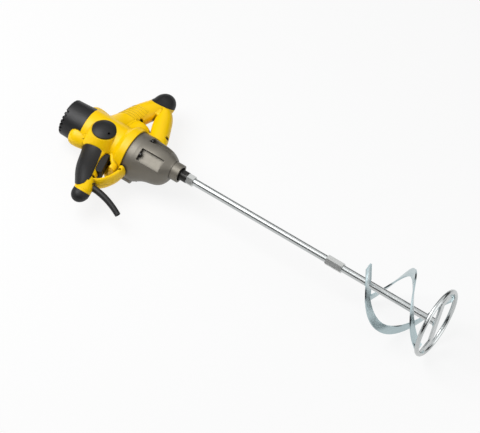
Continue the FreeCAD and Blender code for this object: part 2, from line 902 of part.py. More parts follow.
def cord_boot():
    """A tapering hollow sleeve, curving away from the trigger handle."""
    neck = cylinder_x(boot_root - boot_flange_thickness, boot_root + boot_neck,
                      boot_root_radius, -boot_reach, motor_z)
    flange = cylinder_x(boot_root - boot_flange_thickness, boot_root,
                        boot_flange_radius, -boot_reach, motor_z)
    outer = []
    inner = []
    for share in boot_station_shares:
        ahead = boot_heading(share)
        radius = boot_root_radius + (boot_tip_radius - boot_root_radius) * share
        outer.append(Part.Wire(Part.makeCircle(radius, boot_path(share), ahead)))
        inner.append(Part.Wire(Part.makeCircle(boot_bore_radius, boot_path(share), ahead)))
    bore = cylinder_x(boot_root - boot_flange_thickness - overrun, boot_root + boot_neck,
                      boot_bore_radius, -boot_reach, motor_z)
    outward = boot_heading(1)
    mouth = Part.makeCylinder(
        boot_mouth_radius, boot_mouth_depth + overrun, boot_path(1) + outward * overrun, outward * -1)
    sleeve = joined([flange, neck, Part.makeLoft(outer, True)])
    return sleeve.cut(bore).cut(Part.makeLoft(inner, True)).cut(mouth)


def shell_screws():
    screws = []
    for x, y in shell_screw_places():
        seat = Vec(x, y, motor_z + shell_screw_seat)
        screws.append(screw(
            seat, -ALONG_Z, shell_screw_seat + shell_screw_depth, shell_screw_radius,
            shell_screw_head_radius, shell_screw_head_height))
    return group(screws)


# Trigger and switch

def trigger():
    corners = [
        (trigger_nose_lead, trigger_start), (trigger_top_lead, trigger_start + trigger_chin),
        (trigger_bottom_lead, trigger_end - trigger_chin), (trigger_chin_lead, trigger_end),
        (trigger_root_lead, trigger_end), (trigger_root_lead, trigger_start),
    ]
    points = [Vec(grip_x + lead, -out, motor_z - trigger_half_width) for lead, out in corners]
    solid = polygon_prism(points, Vec(0, 0, 2 * trigger_half_width))
    rim = [
        e for e in solid.Edges
        if abs(e.Vertexes[0].Z - e.Vertexes[1].Z) < trigger_half_width
        and max(v.X for v in e.Vertexes) > trigger_root + trigger_travel
    ]
    return solid.makeChamfer(trigger_edge, rim)


def switch_plunger():
    middle = -(switch_start + switch_end) / 2
    return cylinder_x(
        switch_front - plunger_engagement, trigger_root, plunger_radius, middle, motor_z)


def switch_body():
    middle = -(switch_start + switch_end) / 2
    hole = cylinder_x(
        switch_front - plunger_engagement - trigger_travel - plunger_gap,
        switch_front + overrun, plunger_radius + plunger_gap, middle, motor_z)
    return switch_block().cut(hole)


# Motor

def motor_end_cap():
    rim_radius = end_cap_rear_radius
    corner = end_cap_round * (1 - math.sqrt(0.5))

    def at(x, radius):
        return Vec(x, 0, motor_z + radius)

    outer = outline_edges(at(cap_rear, 0), (
        (at(cap_rear, rim_radius - end_cap_round),),
        (at(cap_rear + corner, rim_radius - corner), at(cap_rear + end_cap_round, rim_radius)),
        (at(barrel_rear, end_cap_radius),),
        (at(barrel_rear, spigot_radius),), (at(spigot_front, spigot_radius),), (at(spigot_front, 0),),
        (at(cap_rear, 0),)))
    full = Part.Face(Part.Wire(outer)).revolve(at(0, 0), ALONG_X, 360)
    inside_rear = cap_rear + end_cap_rear_wall
    room = turned((
        (inside_rear, 0), (inside_rear, rim_radius - end_cap_wall),
        (barrel_rear - end_cap_wall, cap_inner_radius), (barrel_rear, spigot_inner_radius),
        (spigot_front + overrun, spigot_inner_radius), (spigot_front + overrun, 0),
    ), 0, motor_z)
    pieces = [full.cut(room)]
    boss_radius = armature_bearing_radius + end_cap_boss_wall
    pieces.append(cylinder_x(cap_rear + end_cap_rear_wall / 2, rear_bearing_end, boss_radius, 0, motor_z))
    places = [about_motor(end_cap_screw_circle, angle) for angle in end_cap_screw_angles]
    for y, z in places:
        pillar = cylinder_x(cap_rear + end_cap_rear_wall / 2, spigot_front, end_cap_pillar_radius, y, z)
        pieces.append(pillar.common(full))
    cap = joined(pieces)
    cap = cap.cut(cylinder_x(
        rear_bearing_start, rear_bearing_end + overrun, armature_bearing_radius + seat_gap, 0, motor_z))
    seat = cap_rear + end_cap_screw_seat
    for y, z in places:
        cap = cap.cut(cylinder_x(seat, spigot_front + overrun, end_cap_screw_radius + loose_gap, y, z))
        cap = cap.cut(cylinder_x(cap_rear - overrun, seat, end_cap_screw_head_radius + loose_gap, y, z))
    slot = block(
        (cap_rear - overrun, cap_rear + vent_length), (vent_inner_radius, end_cap_radius + overrun),
        (motor_z - vent_width / 2, motor_z + vent_width / 2))
    for number in range(vent_count):
        angle = 360 * (number + 0.5) / vent_count
        apart = [abs((angle - screw_angle + 180) % 360 - 180) for screw_angle in end_cap_screw_angles]
        from_side = abs((angle + 90) % 180 - 90)
        if min(apart) < 360 / vent_count or from_side > vent_half_angle:
            continue
        turned_slot = slot.copy()
        turned_slot.rotate(Vec(0, 0, motor_z), ALONG_X, angle)
        cap = cap.cut(turned_slot)
    return cap


def end_cap_screws():
    screws = []
    seat = cap_rear + end_cap_screw_seat
    for angle in end_cap_screw_angles:
        y, z = about_motor(end_cap_screw_circle, angle)
        screws.append(screw(
            Vec(seat, y, z), ALONG_X, spigot_front + end_cap_screw_grip - seat,
            end_cap_screw_radius, end_cap_screw_head_radius, end_cap_screw_head_height))
    return group(screws)


def stator_core():
    pole_face = armature_radius + air_gap
    shoe = pole_face + pole_shoe_thickness
    pieces = [tube_x(stator_rear, stator_front, bore_radius - seat_gap, stator_slot_radius, 0, motor_z)]
    for angle in (90, 270):
        pieces.append(sector_x(stator_rear, stator_front, pole_face, shoe, angle, pole_half_angle))
        pieces.append(sector_x(
            stator_rear, stator_front, pole_face, stator_slot_radius + pole_shoe_thickness,
            angle, pole_neck_half_angle))
    return joined(pieces)


def field_coils():
    inner = armature_radius + air_gap + pole_shoe_thickness + field_coil_gap
    outer = stator_slot_radius - field_coil_gap
    start = stator_rear - field_coil_overhang
    end = stator_front + field_coil_overhang
    neck_edge = pole_neck_half_angle + math.degrees(field_coil_gap / inner)
    leg = (field_coil_half_angle - neck_edge) / 2
    coils = []
    for angle in (90, 270):
        legs = [
            sector_x(start, end, inner, outer, angle + way * (neck_edge + leg), leg)
            for way in (-1, 1)
        ]
        rear = sector_x(start, stator_rear - field_coil_gap, inner, outer, angle, field_coil_half_angle)
        front = sector_x(stator_front + field_coil_gap, end, inner, outer, angle, field_coil_half_angle)
        coils.append(joined(legs + [rear, front]))
    return group(coils)


def brush_box(side, inner, outer, half_length, half_width):
    return block(
        (brush_x - half_length, brush_x + half_length), (side * inner, side * outer),
        (motor_z - half_width, motor_z + half_width))


def brush_holders():
    outer = math.sqrt(spigot_inner_radius**2 - (brush_half_width + brush_holder_wall) ** 2) - seat_gap
    holders = []
    for side in (-1, 1):
        body = brush_box(
            side, commutator_radius + brush_holder_gap, outer,
            brush_half_length + brush_holder_wall, brush_half_width + brush_holder_wall)
        room = brush_box(
            side, 0, outer - brush_plug_length,
            brush_half_length + brush_slide_gap, brush_half_width + brush_slide_gap)
        holders.append(body.cut(room))
    return group(holders)


def carbon_brushes():
    start = commutator_radius + brush_gap
    return group([
        brush_box(side, start, start + brush_length, brush_half_length, brush_half_width)
        for side in (-1, 1)
    ])


def fan_baffle():
    ring = tube_x(
        baffle_front - baffle_thickness, baffle_front, bore_radius - seat_gap, baffle_inner_radius,
        0, motor_z)
    for angle in gear_screw_angles:
        y, z = about_motor(gear_screw_circle, angle)
        ring = ring.cut(cylinder_x(
            baffle_front - baffle_thickness - overrun, plate_rear, gear_boss_radius + seat_gap, y, z))
    return ring


def armature_shaft():
    toward = direction_angle(counter_y, counter_z - motor_z)
    pinion_start = gear_rear + gear_start_gap - pinion_overlap
    pinion_end = first_wheel_end + pinion_overlap
    return joined([
        cylinder_x(rear_bearing_start, front_bearing_end, shaft_journal_radius, 0, motor_z),
        cylinder_x(rear_bearing_end + shaft_end_gap, plate_rear - shaft_end_gap, shaft_radius, 0, motor_z),
        cylinder_x(plate_rear, pinion_end, shaft_neck_radius, 0, motor_z),
        gear(first_pinion_teeth, first_module, pinion_start, pinion_end, 0, motor_z, toward),
    ])


def armature_core():
    core = tube_x(
        armature_rear, armature_front, armature_radius, shaft_radius + seat_gap, 0, motor_z)
    slot = block(
        (armature_rear - overrun, armature_front + overrun),
        (armature_radius - armature_slot_depth, armature_radius + overrun),
        (motor_z - armature_slot_width / 2, motor_z + armature_slot_width / 2))
    for number in range(armature_slot_count):
        cut = slot.copy()
        cut.rotate(Vec(0, 0, motor_z), ALONG_X, 360 * number / armature_slot_count)
        core = core.cut(cut)
    return core


def armature_windings():
    rings = []
    for start, end in (
        (armature_rear, armature_rear - winding_length),
        (armature_front, armature_front + winding_length),
    ):
        way = 1 if end > start else -1
        round_x = end - way * winding_round
        rings.append(turned((
            (start, winding_inner_radius), (start, winding_radius), (round_x, winding_radius),
            (end, winding_radius - winding_round), (end, winding_inner_radius + winding_round),
            (round_x, winding_inner_radius),
        ), 0, motor_z))
    return group(rings)


def commutator():
    drum = tube_x(
        commutator_rear, commutator_front, commutator_radius, shaft_radius + seat_gap, 0, motor_z)
    slot = block(
        (commutator_rear - overrun, commutator_front + overrun),
        (commutator_radius - commutator_slot_depth, commutator_radius + overrun),
        (motor_z - commutator_slot_width / 2, motor_z + commutator_slot_width / 2))
    for number in range(commutator_bar_count):
        cut = slot.copy()
        cut.rotate(Vec(0, 0, motor_z), ALONG_X, 360 * number / commutator_bar_count)
        drum = drum.cut(cut)
    return drum


def cooling_fan():
    plate_start = fan_front - fan_plate_thickness
    pieces = [
        cylinder_x(plate_start, fan_front, fan_radius, 0, motor_z),
        cylinder_x(fan_rear, fan_front, fan_hub_radius, 0, motor_z),
    ]
    blade = block(
        (fan_rear, fan_front), (fan_blade_inner_radius, fan_radius - fan_blade_thickness),
        (motor_z - fan_blade_thickness / 2, motor_z + fan_blade_thickness / 2))
    for number in range(fan_blade_count):
        piece = blade.copy()
        piece.rotate(Vec(0, 0, motor_z), ALONG_X, 360 * number / fan_blade_count)
        pieces.append(piece)
    hole = cylinder_x(fan_rear - overrun, fan_front + overrun, shaft_radius + seat_gap, 0, motor_z)
    return joined(pieces).cut(hole)


# Gear box

def gear_plate():
    plate = cylinder_x(plate_rear, gear_rear, gear_flange_radius, 0, motor_z)
    pinion_tip = first_module * (first_pinion_teeth / 2 + addendum_share)
    cuts = [
        cylinder_x(plate_rear - overrun, front_bearing_end, armature_bearing_radius + seat_gap, 0, motor_z),
        cylinder_x(plate_rear, gear_rear + overrun, pinion_tip + loose_gap, 0, motor_z),
        cylinder_x(gear_rear - spindle_bush_length - shaft_end_gap, gear_rear + overrun,
                   spindle_bush_radius + seat_gap),
        cylinder_x(gear_rear - countershaft_bearing_width - shaft_end_gap, gear_rear + overrun,
                   countershaft_bearing_radius + seat_gap, counter_y, counter_z),
    ]
    for angle in gear_screw_angles:
        y, z = about_motor(gear_screw_circle, angle)
        cuts.append(cylinder_x(
            plate_rear - overrun, gear_rear + overrun, gear_screw_radius + gear_screw_clearance, y, z))
    for cut in cuts:
        plate = plate.cut(cut)
    return plate


def casting(inset):
    """The tapering gear case as circles from the flange to the collar."""
    wires = []
    for setback_share, drop_share, radius_share in gear_housing_station_shares[1:]:
        middle = Vec(-gear_housing_length * setback_share, 0, motor_z * drop_share)
        wires.append(Part.Wire(Part.makeCircle(
            gear_flange_radius * radius_share - inset, middle, ALONG_X)))
    flange_end = -gear_housing_length * gear_housing_station_shares[1][0]
    flange = cylinder_x(gear_rear, flange_end, gear_flange_radius - inset, 0, motor_z)
    return joined([flange, Part.makeLoft(wires, True)])


def channel(angle, floor, half_width, start, end):
    """The room cut into the casting ahead of a screw, open outwards."""
    cut = block(
        (start, end), (floor, gear_flange_radius + overrun), (motor_z - half_width, motor_z + half_width))
    cut.rotate(Vec(0, 0, motor_z), ALONG_X, angle)
    return cut


def gear_housing():
    body = casting(0)
    collar = cylinder_x(-collar_root_setback, 0, collar_radius)
    lugs = []
    for angle in lug_angles:
        y, z = about_motor(lug_circle, angle)
        lugs.append(cylinder_x(skirt_front + loose_gap, skirt_front + lug_length, lug_radius, y, z))
    body = joined([body, collar] + lugs)
    channel_end = -channel_front_setback
    room = casting(gear_wall).common(block(
        (gear_rear - overrun, cavity_front), (-handle_reach, handle_reach), (-handle_reach, handle_reach)))
    room = joined([room, cylinder_x(gear_rear - overrun, gear_rear + overrun,
                                    gear_flange_radius - gear_wall, 0, motor_z)])
    for angle in gear_screw_angles:
        y, z = about_motor(gear_screw_circle, angle)
        body = body.cut(cylinder_x(
            gear_rear - overrun, screw_seat_x, gear_screw_radius + gear_screw_clearance, y, z))
        body = body.cut(channel(angle, channel_floor_radius, channel_half_width, screw_seat_x, channel_end))
        room = room.cut(cylinder_x(gear_rear - overrun * 2, 0, gear_boss_radius, y, z))
        room = room.cut(channel(
            angle, channel_floor_radius - channel_wall, channel_half_width + channel_wall,
            screw_seat_x - channel_wall, 0))
    cuts = [
        room,
        cylinder_x(cavity_front - overrun, spindle_bearing_front, spindle_bearing_radius + seat_gap),
        cylinder_x(spindle_bearing_rear - circlip_thickness - seat_gap, spindle_bearing_rear,
                   spindle_bearing_radius + circlip_groove_depth + seat_gap),
        cylinder_x(cavity_front - overrun, cavity_front + countershaft_bearing_width + shaft_end_gap,
                   countershaft_bearing_radius + seat_gap, counter_y, counter_z),
        cylinder_x(spindle_bearing_front - overrun, overrun, collar_bore_radius),
        cylinder_x(-seal_recess - seal_length, overrun, seal_radius + seat_gap),
    ]
    for cut in cuts:
        body = body.cut(cut)
    return body


def gear_housing_screws():
    screws = []
    length = gear_screw_seat + gear_plate_thickness + gear_screw_grip
    for angle in gear_screw_angles:
        y, z = about_motor(gear_screw_circle, angle)
        screws.append(screw(
            Vec(screw_seat_x, y, z), -ALONG_X, length, gear_screw_radius,
            gear_screw_head_radius, gear_screw_head_height))
    return group(screws)


def retaining_ring():
    end = spindle_bearing_rear - seat_gap / 2
    return tube_x(
        end - circlip_thickness + seat_gap, end, spindle_bearing_radius + circlip_groove_depth,
        spindle_bearing_radius + circlip_groove_depth - circlip_width)


def countershaft():
    toward = direction_angle(-counter_y, -counter_z)
    pinion_start = second_wheel_start - pinion_overlap
    pinion_end = second_wheel_end + pinion_overlap
    seat_end = first_wheel_end + pinion_overlap
    return joined([
        cylinder_x(gear_rear - countershaft_bearing_width, gear_rear + gear_start_gap,
                   countershaft_journal_radius, counter_y, counter_z),
        cylinder_x(gear_rear + gear_start_gap / 2, seat_end, countershaft_radius, counter_y, counter_z),
        cylinder_x(seat_end, cavity_front, second_module * second_pinion_teeth / 2
                   - second_module * dedendum_share, counter_y, counter_z),
        gear(second_pinion_teeth, second_module, pinion_start, pinion_end, counter_y, counter_z, toward),
        cylinder_x(pinion_end, cavity_front + countershaft_bearing_width,
                   countershaft_journal_radius, counter_y, counter_z),
    ])


def first_gear():
    back = direction_angle(-counter_y, motor_z - counter_z)
    wheel = gear(
        first_wheel_teeth, first_module, first_wheel_start, first_wheel_end, counter_y, counter_z,
        back + 180 / first_wheel_teeth)
    return wheel.cut(cylinder_x(
        gear_rear, second_wheel_start, countershaft_radius + seat_gap, counter_y, counter_z))


def key_block(gap):
    low = spindle_radius - key_depth
    return block(
        (second_wheel_start, second_wheel_end), (-key_width / 2 - gap, key_width / 2 + gap),
        (low - gap, spindle_radius + key_depth + gap))


def output_gear():
    back = direction_angle(counter_y, counter_z)
    wheel = gear(
        second_wheel_teeth, second_module, second_wheel_start, second_wheel_end, 0, 0,
        back + 180 / second_wheel_teeth)
    bore = cylinder_x(first_wheel_end, cavity_front, spindle_radius + seat_gap)
    return wheel.cut(bore).cut(key_block(key_gap))


def spindle():
    tail = cylinder_x(gear_rear - spindle_bush_length, second_wheel_start, spindle_tail_radius)
    body = cylinder_x(first_wheel_end + stage_gap / 2, spindle_bearing_front, spindle_radius)
    nose = cylinder_x(
        spindle_bearing_front + spindle_shoulder_gap, spindle_nose_length, spindle_nose_radius)
    shaft = joined([tail, body, cylinder_x(
        spindle_bearing_front - overrun, spindle_bearing_front + overrun, spindle_radius), nose])
    flats = (spindle_flat_setback, spindle_flat_setback + spindle_flat_length)
    wide = (-spindle_nose_radius - overrun, spindle_nose_radius + overrun)
    for side in (-1, 1):
        high = (side * spindle_flat_half_width, side * (spindle_nose_radius + overrun))
        shaft = shaft.cut(block(flats, wide, high))
    bore = cylinder_x(
        spindle_nose_length - spindle_bore_depth, spindle_nose_length + overrun, rod_radius + seat_gap)
    return shaft.cut(bore).cut(key_block(key_gap))


# Paddle

def rod_nut():
    nut = hexagon_x(spindle_nose_length, spindle_nose_length + rod_nut_length, rod_nut_half_width)
    return nut.cut(cylinder_x(0, sleeve_start, rod_radius + seat_gap))


def coupling_sleeve():
    sleeve = hexagon_x(sleeve_start, sleeve_start + sleeve_length, sleeve_half_width)
    return sleeve.cut(cylinder_x(
        sleeve_start - overrun, sleeve_start + sleeve_length + overrun, rod_radius + seat_gap))


def paddle_ring(extra=0.0):
    return Part.makeTorus(ring_radius, ring_wire_radius + extra, Vec(ring_setback, 0, 0), ALONG_X)


def cross_bar():
    """The flat bar across the ring, its two ends bent round towards the ring."""
    half = cross_bar_width / 2
    pieces = [block(
        (bar_start, bar_start + cross_bar_thickness), (-cross_bar_straight, cross_bar_straight),
        (-half, half))]
    bend = math.radians(cross_bar_end_angle - cross_bar_angle)
    for side in (-1, 1):
        knee = Vec(bar_start, side * cross_bar_straight, 0)
        tip = Vec(bar_start, side * ring_radius * math.cos(bend), side * ring_radius * math.sin(bend))
        along = tip - knee
        across = Vec(0, -along.z, along.y).normalize() * half
        corners = [knee + across, tip + across, tip - across, knee - across]
        pieces.append(polygon_prism(corners, Vec(cross_bar_thickness, 0, 0)))
        pieces.append(cylinder_x(
            bar_start, bar_start + cross_bar_thickness, half, side * cross_bar_straight, 0))
    bar = joined(pieces).common(cylinder_x(0, bar_start + cross_bar_thickness, ring_radius))
    bar.rotate(Vec(0, 0, 0), ALONG_X, cross_bar_angle)
    return bar.cut(paddle_ring(weld_gap))


def ribbon(turn):
    """A strip that winds from the rod to the ring, with the arm that carries it."""
    inner = ribbon_outer_radius - ribbon_width
    last = ribbon_station_count - 1
    wires = []
    for number in range(ribbon_station_count):
        x = ribbon_start + (ring_setback - ribbon_start) * number / last
        angle = ribbon_start_angle + turn + 360 * (x - ribbon_start) / ribbon_pitch
        corners = [
            polar(radius, angle, x + way * ribbon_thickness / 2)
            for radius, way in (
                (inner, -1), (ribbon_outer_radius, -1), (ribbon_outer_radius, 1), (inner, 1))
        ]
        wires.append(Part.makePolygon(corners + corners[:1]))
    strip = Part.makeLoft(wires, True)
    arm = block(
        (ribbon_start - ribbon_thickness / 2, ribbon_start + ribbon_thickness / 2),
        (rod_radius - arm_thickness, ribbon_outer_radius - arm_thickness),
        (-arm_width / 2, arm_width / 2))
    arm.rotate(Vec(0, 0, 0), ALONG_X, ribbon_start_angle + turn)
    rod = cylinder_x(sleeve_middle, ring_setback, rod_radius + weld_gap)
    return joined([strip, arm]).cut(rod).cut(paddle_ring(weld_gap)).cut(cross_bar())


def nodes():
    """Every node by name."""
    front_shell, rear_shell = housing_shells()
    counter = (counter_y, counter_z)
    return {
        "front_shell": front_shell,
        "rear_shell": rear_shell,
        "motor_end_cap": motor_end_cap(),
        "front_bumper": front_bumper(),
        "rear_bumper": rear_bumper(),
        "left_end_bumper": end_bumper(-1),
        "right_end_bumper": end_bumper(1),
        "grip_pad": grip_pad(),
        "cord_boot": cord_boot(),
        "shell_screws": shell_screws(),
        "bumper_screws": bumper_screws(),
        "end_cap_screws": end_cap_screws(),
        "gear_housing": gear_housing(),
        "gear_plate": gear_plate(),
        "gear_housing_screws": gear_housing_screws(),
        "stator_core": stator_core(),
        "field_coils": field_coils(),
        "brush_holders": brush_holders(),
        "carbon_brushes": carbon_brushes(),
        "fan_baffle": fan_baffle(),
        "armature_rear_bearing": bearing(
            rear_bearing_start, armature_bearing_width, armature_bearing_radius,
            shaft_journal_radius + running_gap, 0, motor_z),
        "armature_front_bearing": bearing(
            plate_rear, armature_bearing_width, armature_bearing_radius,
            shaft_journal_radius + running_gap, 0, motor_z),
        "countershaft_rear_bearing": bearing(
            gear_rear - countershaft_bearing_width, countershaft_bearing_width,
            countershaft_bearing_radius, countershaft_journal_radius + running_gap, *counter),
        "countershaft_front_bearing": bearing(
            cavity_front, countershaft_bearing_width,
            countershaft_bearing_radius, countershaft_journal_radius + running_gap, *counter),
        "spindle_bush": tube_x(
            gear_rear - spindle_bush_length, gear_rear, spindle_bush_radius,
            spindle_tail_radius + running_gap),
        "spindle_bearing": bearing(
            spindle_bearing_rear, spindle_bearing_width, spindle_bearing_radius,
            spindle_radius + running_gap, 0, 0),
        "spindle_seal": tube_x(
            -seal_recess - seal_length, -seal_recess, seal_radius, spindle_nose_radius + running_gap),
        "retaining_ring": retaining_ring(),
        "switch_body": switch_body(),
        "trigger": trigger(),
        "switch_plunger": switch_plunger(),
        "armature_shaft": armature_shaft(),
        "armature_core": armature_core(),
        "armature_windings": armature_windings(),
        "commutator": commutator(),
        "cooling_fan": cooling_fan(),
        "countershaft": countershaft(),
        "first_gear": first_gear(),
        "spindle": spindle(),
        "output_gear": output_gear(),
        "output_gear_key": key_block(0),
        "rod_nut": rod_nut(),
        "upper_rod": cylinder_x(
            spindle_nose_length - rod_engagement, sleeve_middle - rod_joint_gap / 2, rod_radius),
        "coupling_sleeve": coupling_sleeve(),
        "lower_rod": cylinder_x(sleeve_middle + rod_joint_gap / 2, bar_start, rod_radius),
        "first_ribbon": ribbon(0),
        "second_ribbon": ribbon(180),
        "paddle_ring": paddle_ring(),
        "cross_bar": cross_bar(),
    }


if __name__ == "__main__":
    os.makedirs("parts", exist_ok=True)
    for name, shape in nodes().items():
        shape.exportStep("parts/" + name + ".step")
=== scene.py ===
"""Looks of a two-handled mixing drill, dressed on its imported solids."""

import math

import bmesh
import bpy
import numpy as np
from bpy.props import FloatProperty, FloatVectorProperty, IntProperty, PointerProperty
from mathutils import Matrix, Vector


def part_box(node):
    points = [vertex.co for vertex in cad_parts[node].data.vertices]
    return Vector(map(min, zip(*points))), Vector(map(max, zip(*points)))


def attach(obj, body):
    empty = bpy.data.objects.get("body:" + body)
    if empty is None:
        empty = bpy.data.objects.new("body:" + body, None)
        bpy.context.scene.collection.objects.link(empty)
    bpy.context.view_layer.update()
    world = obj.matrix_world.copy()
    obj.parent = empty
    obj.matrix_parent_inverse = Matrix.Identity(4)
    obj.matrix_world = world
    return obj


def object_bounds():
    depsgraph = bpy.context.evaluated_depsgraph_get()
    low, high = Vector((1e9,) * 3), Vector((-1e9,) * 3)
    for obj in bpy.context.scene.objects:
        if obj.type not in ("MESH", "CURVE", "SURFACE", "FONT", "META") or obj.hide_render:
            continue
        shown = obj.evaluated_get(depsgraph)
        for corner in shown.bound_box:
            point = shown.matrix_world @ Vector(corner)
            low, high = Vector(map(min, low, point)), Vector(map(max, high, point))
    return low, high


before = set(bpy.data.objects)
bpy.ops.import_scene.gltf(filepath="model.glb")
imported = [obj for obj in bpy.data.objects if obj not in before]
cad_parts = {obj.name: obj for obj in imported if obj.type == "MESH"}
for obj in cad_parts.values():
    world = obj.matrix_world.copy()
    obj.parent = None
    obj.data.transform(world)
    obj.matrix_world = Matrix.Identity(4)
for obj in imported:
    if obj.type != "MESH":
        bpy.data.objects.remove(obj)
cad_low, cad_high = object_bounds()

bl_info = {
    "name": "Mixing Drill Looks",
    "version": (1, 0, 0),
    "blender": (4, 5, 0),
    "location": "View3D > Sidebar > Mixing Drill",
    "description": "Dresses the solids of a two-handled mixing drill and sets its studio",
    "category": "Object",
}

PHOTO_WIDTH = 480
PHOTO_HEIGHT = 433

# How much a facet of the shell has to look up, as the height of its unit normal, to carry a fillet
LEAST_UPWARD = 0.22
# Heights that no point of the tool reaches, in metres
FAR_BELOW = -1.0
FAR_ABOVE = 1.0
# Points nearer than the first are merged, and edges shorter than the second are dissolved
MERGE_DISTANCE = 1e-6
EDGE_DISTANCE = 1e-7

FULL_TURN = 2.0 * np.pi
# Points round and down a weld spot, and how many ripples it has each way
SPOT_COLUMNS = 36
SPOT_ROWS = 19
SPOT_RIPPLES_ROUND = 6.0
SPOT_RIPPLES_DOWN = 5.0
# Points along and round the bead at the rod's end, and how many ripples it has
BEAD_COLUMNS = 96
BEAD_ROWS = 13
BEAD_RIPPLES = 16.0
# Points round the dark wall
WALL_COLUMNS = 96

# Rays that a rounded edge or a crevice is judged by
EDGE_SAMPLES = 6
# How sharply the painted shade of a moulding deepens in a crevice
CREVICE_SHADE_CURVE = 1.4
# Gloss of mouldings and rubber
SOFT_GLOSS = 0.3

WHITE = (1.0, 1.0, 1.0, 1.0)
WALL_PAINT = (0.01, 0.01, 0.01, 1.0)
FLOOR_PAINT = (0.86, 0.86, 0.86, 1.0)
# How much of the seen floor is plain white, the rest being its lit paint
FLOOR_GLOW = 0.86

# The nodes that share each finish
YELLOW_NODES = ("front_shell", "rear_shell")
BLACK_NODES = ("motor_end_cap", "trigger", "switch_body")
RUBBER_NODES = (
    "front_bumper", "rear_bumper", "left_end_bumper", "right_end_bumper", "grip_pad", "cord_boot",
    "spindle_seal",
)
CASTING_NODES = ("gear_housing", "gear_plate")
DARK_STEEL_NODES = (
    "spindle", "shell_screws", "bumper_screws", "end_cap_screws", "gear_housing_screws", "retaining_ring",
)
ZINC_NODES = ("upper_rod", "lower_rod", "paddle_ring", "cross_bar")
RIBBON_NODES = ("first_ribbon", "second_ribbon")
FITTING_NODES = ("rod_nut", "coupling_sleeve")
GROUND_STEEL_NODES = (
    "armature_shaft", "countershaft", "first_gear", "output_gear", "output_gear_key",
    "armature_rear_bearing", "armature_front_bearing", "countershaft_rear_bearing",
    "countershaft_front_bearing", "spindle_bearing",
)
COPPER_NODES = ("field_coils", "armature_windings", "commutator")
BRASS_NODES = ("brush_holders", "spindle_bush")
CARBON_NODES = ("carbon_brushes",)
LAMINATION_NODES = ("stator_core", "armature_core")
NYLON_NODES = ("fan_baffle", "cooling_fan", "switch_plunger")

# What the fillets of the front shell keep off
FILLET_NEIGHBOURS = (
    "front_bumper", "grip_pad", "trigger", "switch_body", "gear_housing", "gear_housing_screws",
    "motor_end_cap", "left_end_bumper", "right_end_bumper", "cord_boot", "shell_screws",
)


class FinishColours(bpy.types.PropertyGroup):
    """The colours of the finishes, as linear values."""

    yellow: FloatVectorProperty(
        name="Yellow", description="Moulded housing", subtype="COLOR", default=(0.97, 0.61, 0.0))
    black: FloatVectorProperty(
        name="Black", description="End cap and trigger", subtype="COLOR", default=(0.014, 0.014, 0.015))
    rubber: FloatVectorProperty(
        name="Rubber", description="Bumpers, grip pad and boot", subtype="COLOR",
        default=(0.011, 0.011, 0.0115))
    casting: FloatVectorProperty(
        name="Casting", description="Gear housing", subtype="COLOR", default=(0.190, 0.175, 0.146))
    dark_steel: FloatVectorProperty(
        name="Dark steel", description="Spindle and screws", subtype="COLOR", default=(0.030, 0.029, 0.028))
    zinc: FloatVectorProperty(
        name="Zinc", description="Rods, ring and cross bar", subtype="COLOR", default=(0.52, 0.54, 0.54))
    ribbon: FloatVectorProperty(
        name="Ribbon", description="Ribbons of the paddle", subtype="COLOR", default=(0.44, 0.53, 0.55))
    fitting: FloatVectorProperty(
        name="Fitting", description="Nut and coupling sleeve", subtype="COLOR", default=(0.60, 0.61, 0.60))
    ground_steel: FloatVectorProperty(
        name="Ground steel", description="Shafts, gears and bearings", subtype="COLOR",
        default=(0.50, 0.50, 0.51))
    copper: FloatVectorProperty(
        name="Copper", description="Windings and commutator", subtype="COLOR", default=(0.62, 0.25, 0.10))
    brass: FloatVectorProperty(
        name="Brass", description="Brush holders and bush", subtype="COLOR", default=(0.62, 0.45, 0.17))
    carbon: FloatVectorProperty(
        name="Carbon", description="Brushes", subtype="COLOR", default=(0.015, 0.015, 0.016))
    lamination: FloatVectorProperty(
        name="Lamination", description="Cores of the motor", subtype="COLOR", default=(0.15, 0.15, 0.16))
    nylon: FloatVectorProperty(
        name="Nylon", description="Fan, baffle and plunger", subtype="COLOR", default=(0.62, 0.60, 0.54))


class FilletSizes(bpy.types.PropertyGroup):
    """The fillets between the moulded forms of the front shell."""

    radius: FloatProperty(
        name="Radius", description="Radius of the ball rolled over the shell", unit="LENGTH", default=0.008)
    step: FloatProperty(
        name="Step", description="Cell of the grid that the ball rolls on", unit="LENGTH", default=0.001)
    limit: FloatProperty(
        name="Limit", description="A deeper place is a hole and stays open", unit="LENGTH", default=0.0085)
    loop_margin: FloatProperty(
        name="Loop margin", description="Room left round the trigger", unit="LENGTH", default=0.012)
    fade_cells: IntProperty(
        name="Fade cells", description="Cells over which a fillet fades out", default=4)
    least_cells: IntProperty(
        name="Least cells", description="A fillet narrower than twice this is left out", default=2)
    rim_cells: IntProperty(
        name="Rim cells", description="Cells left free along the shell's outline", default=3)
    bury: FloatProperty(
        name="Bury", description="How far the skin lies under the shell", unit="LENGTH", default=0.0001)
    wall: FloatProperty(
        name="Wall", description="Thickness of the skin", unit="LENGTH", default=0.0012)


class WeldSizes(bpy.types.PropertyGroup):
    """The weld metal on the paddle."""

    radius: FloatProperty(
        name="Radius", description="Radius of a weld spot", unit="LENGTH", default=0.0042)
    bead: FloatProperty(
        name="Bead", description="Radius of the seam round the rod", unit="LENGTH", default=0.0019)
    ripple: FloatProperty(
        name="Ripple", description="Height of the ripples as a share of the radius", default=0.10)
    reach: FloatProperty(
        name="Reach", description="How near two pieces are where they are welded", unit="LENGTH",
        default=0.0012)


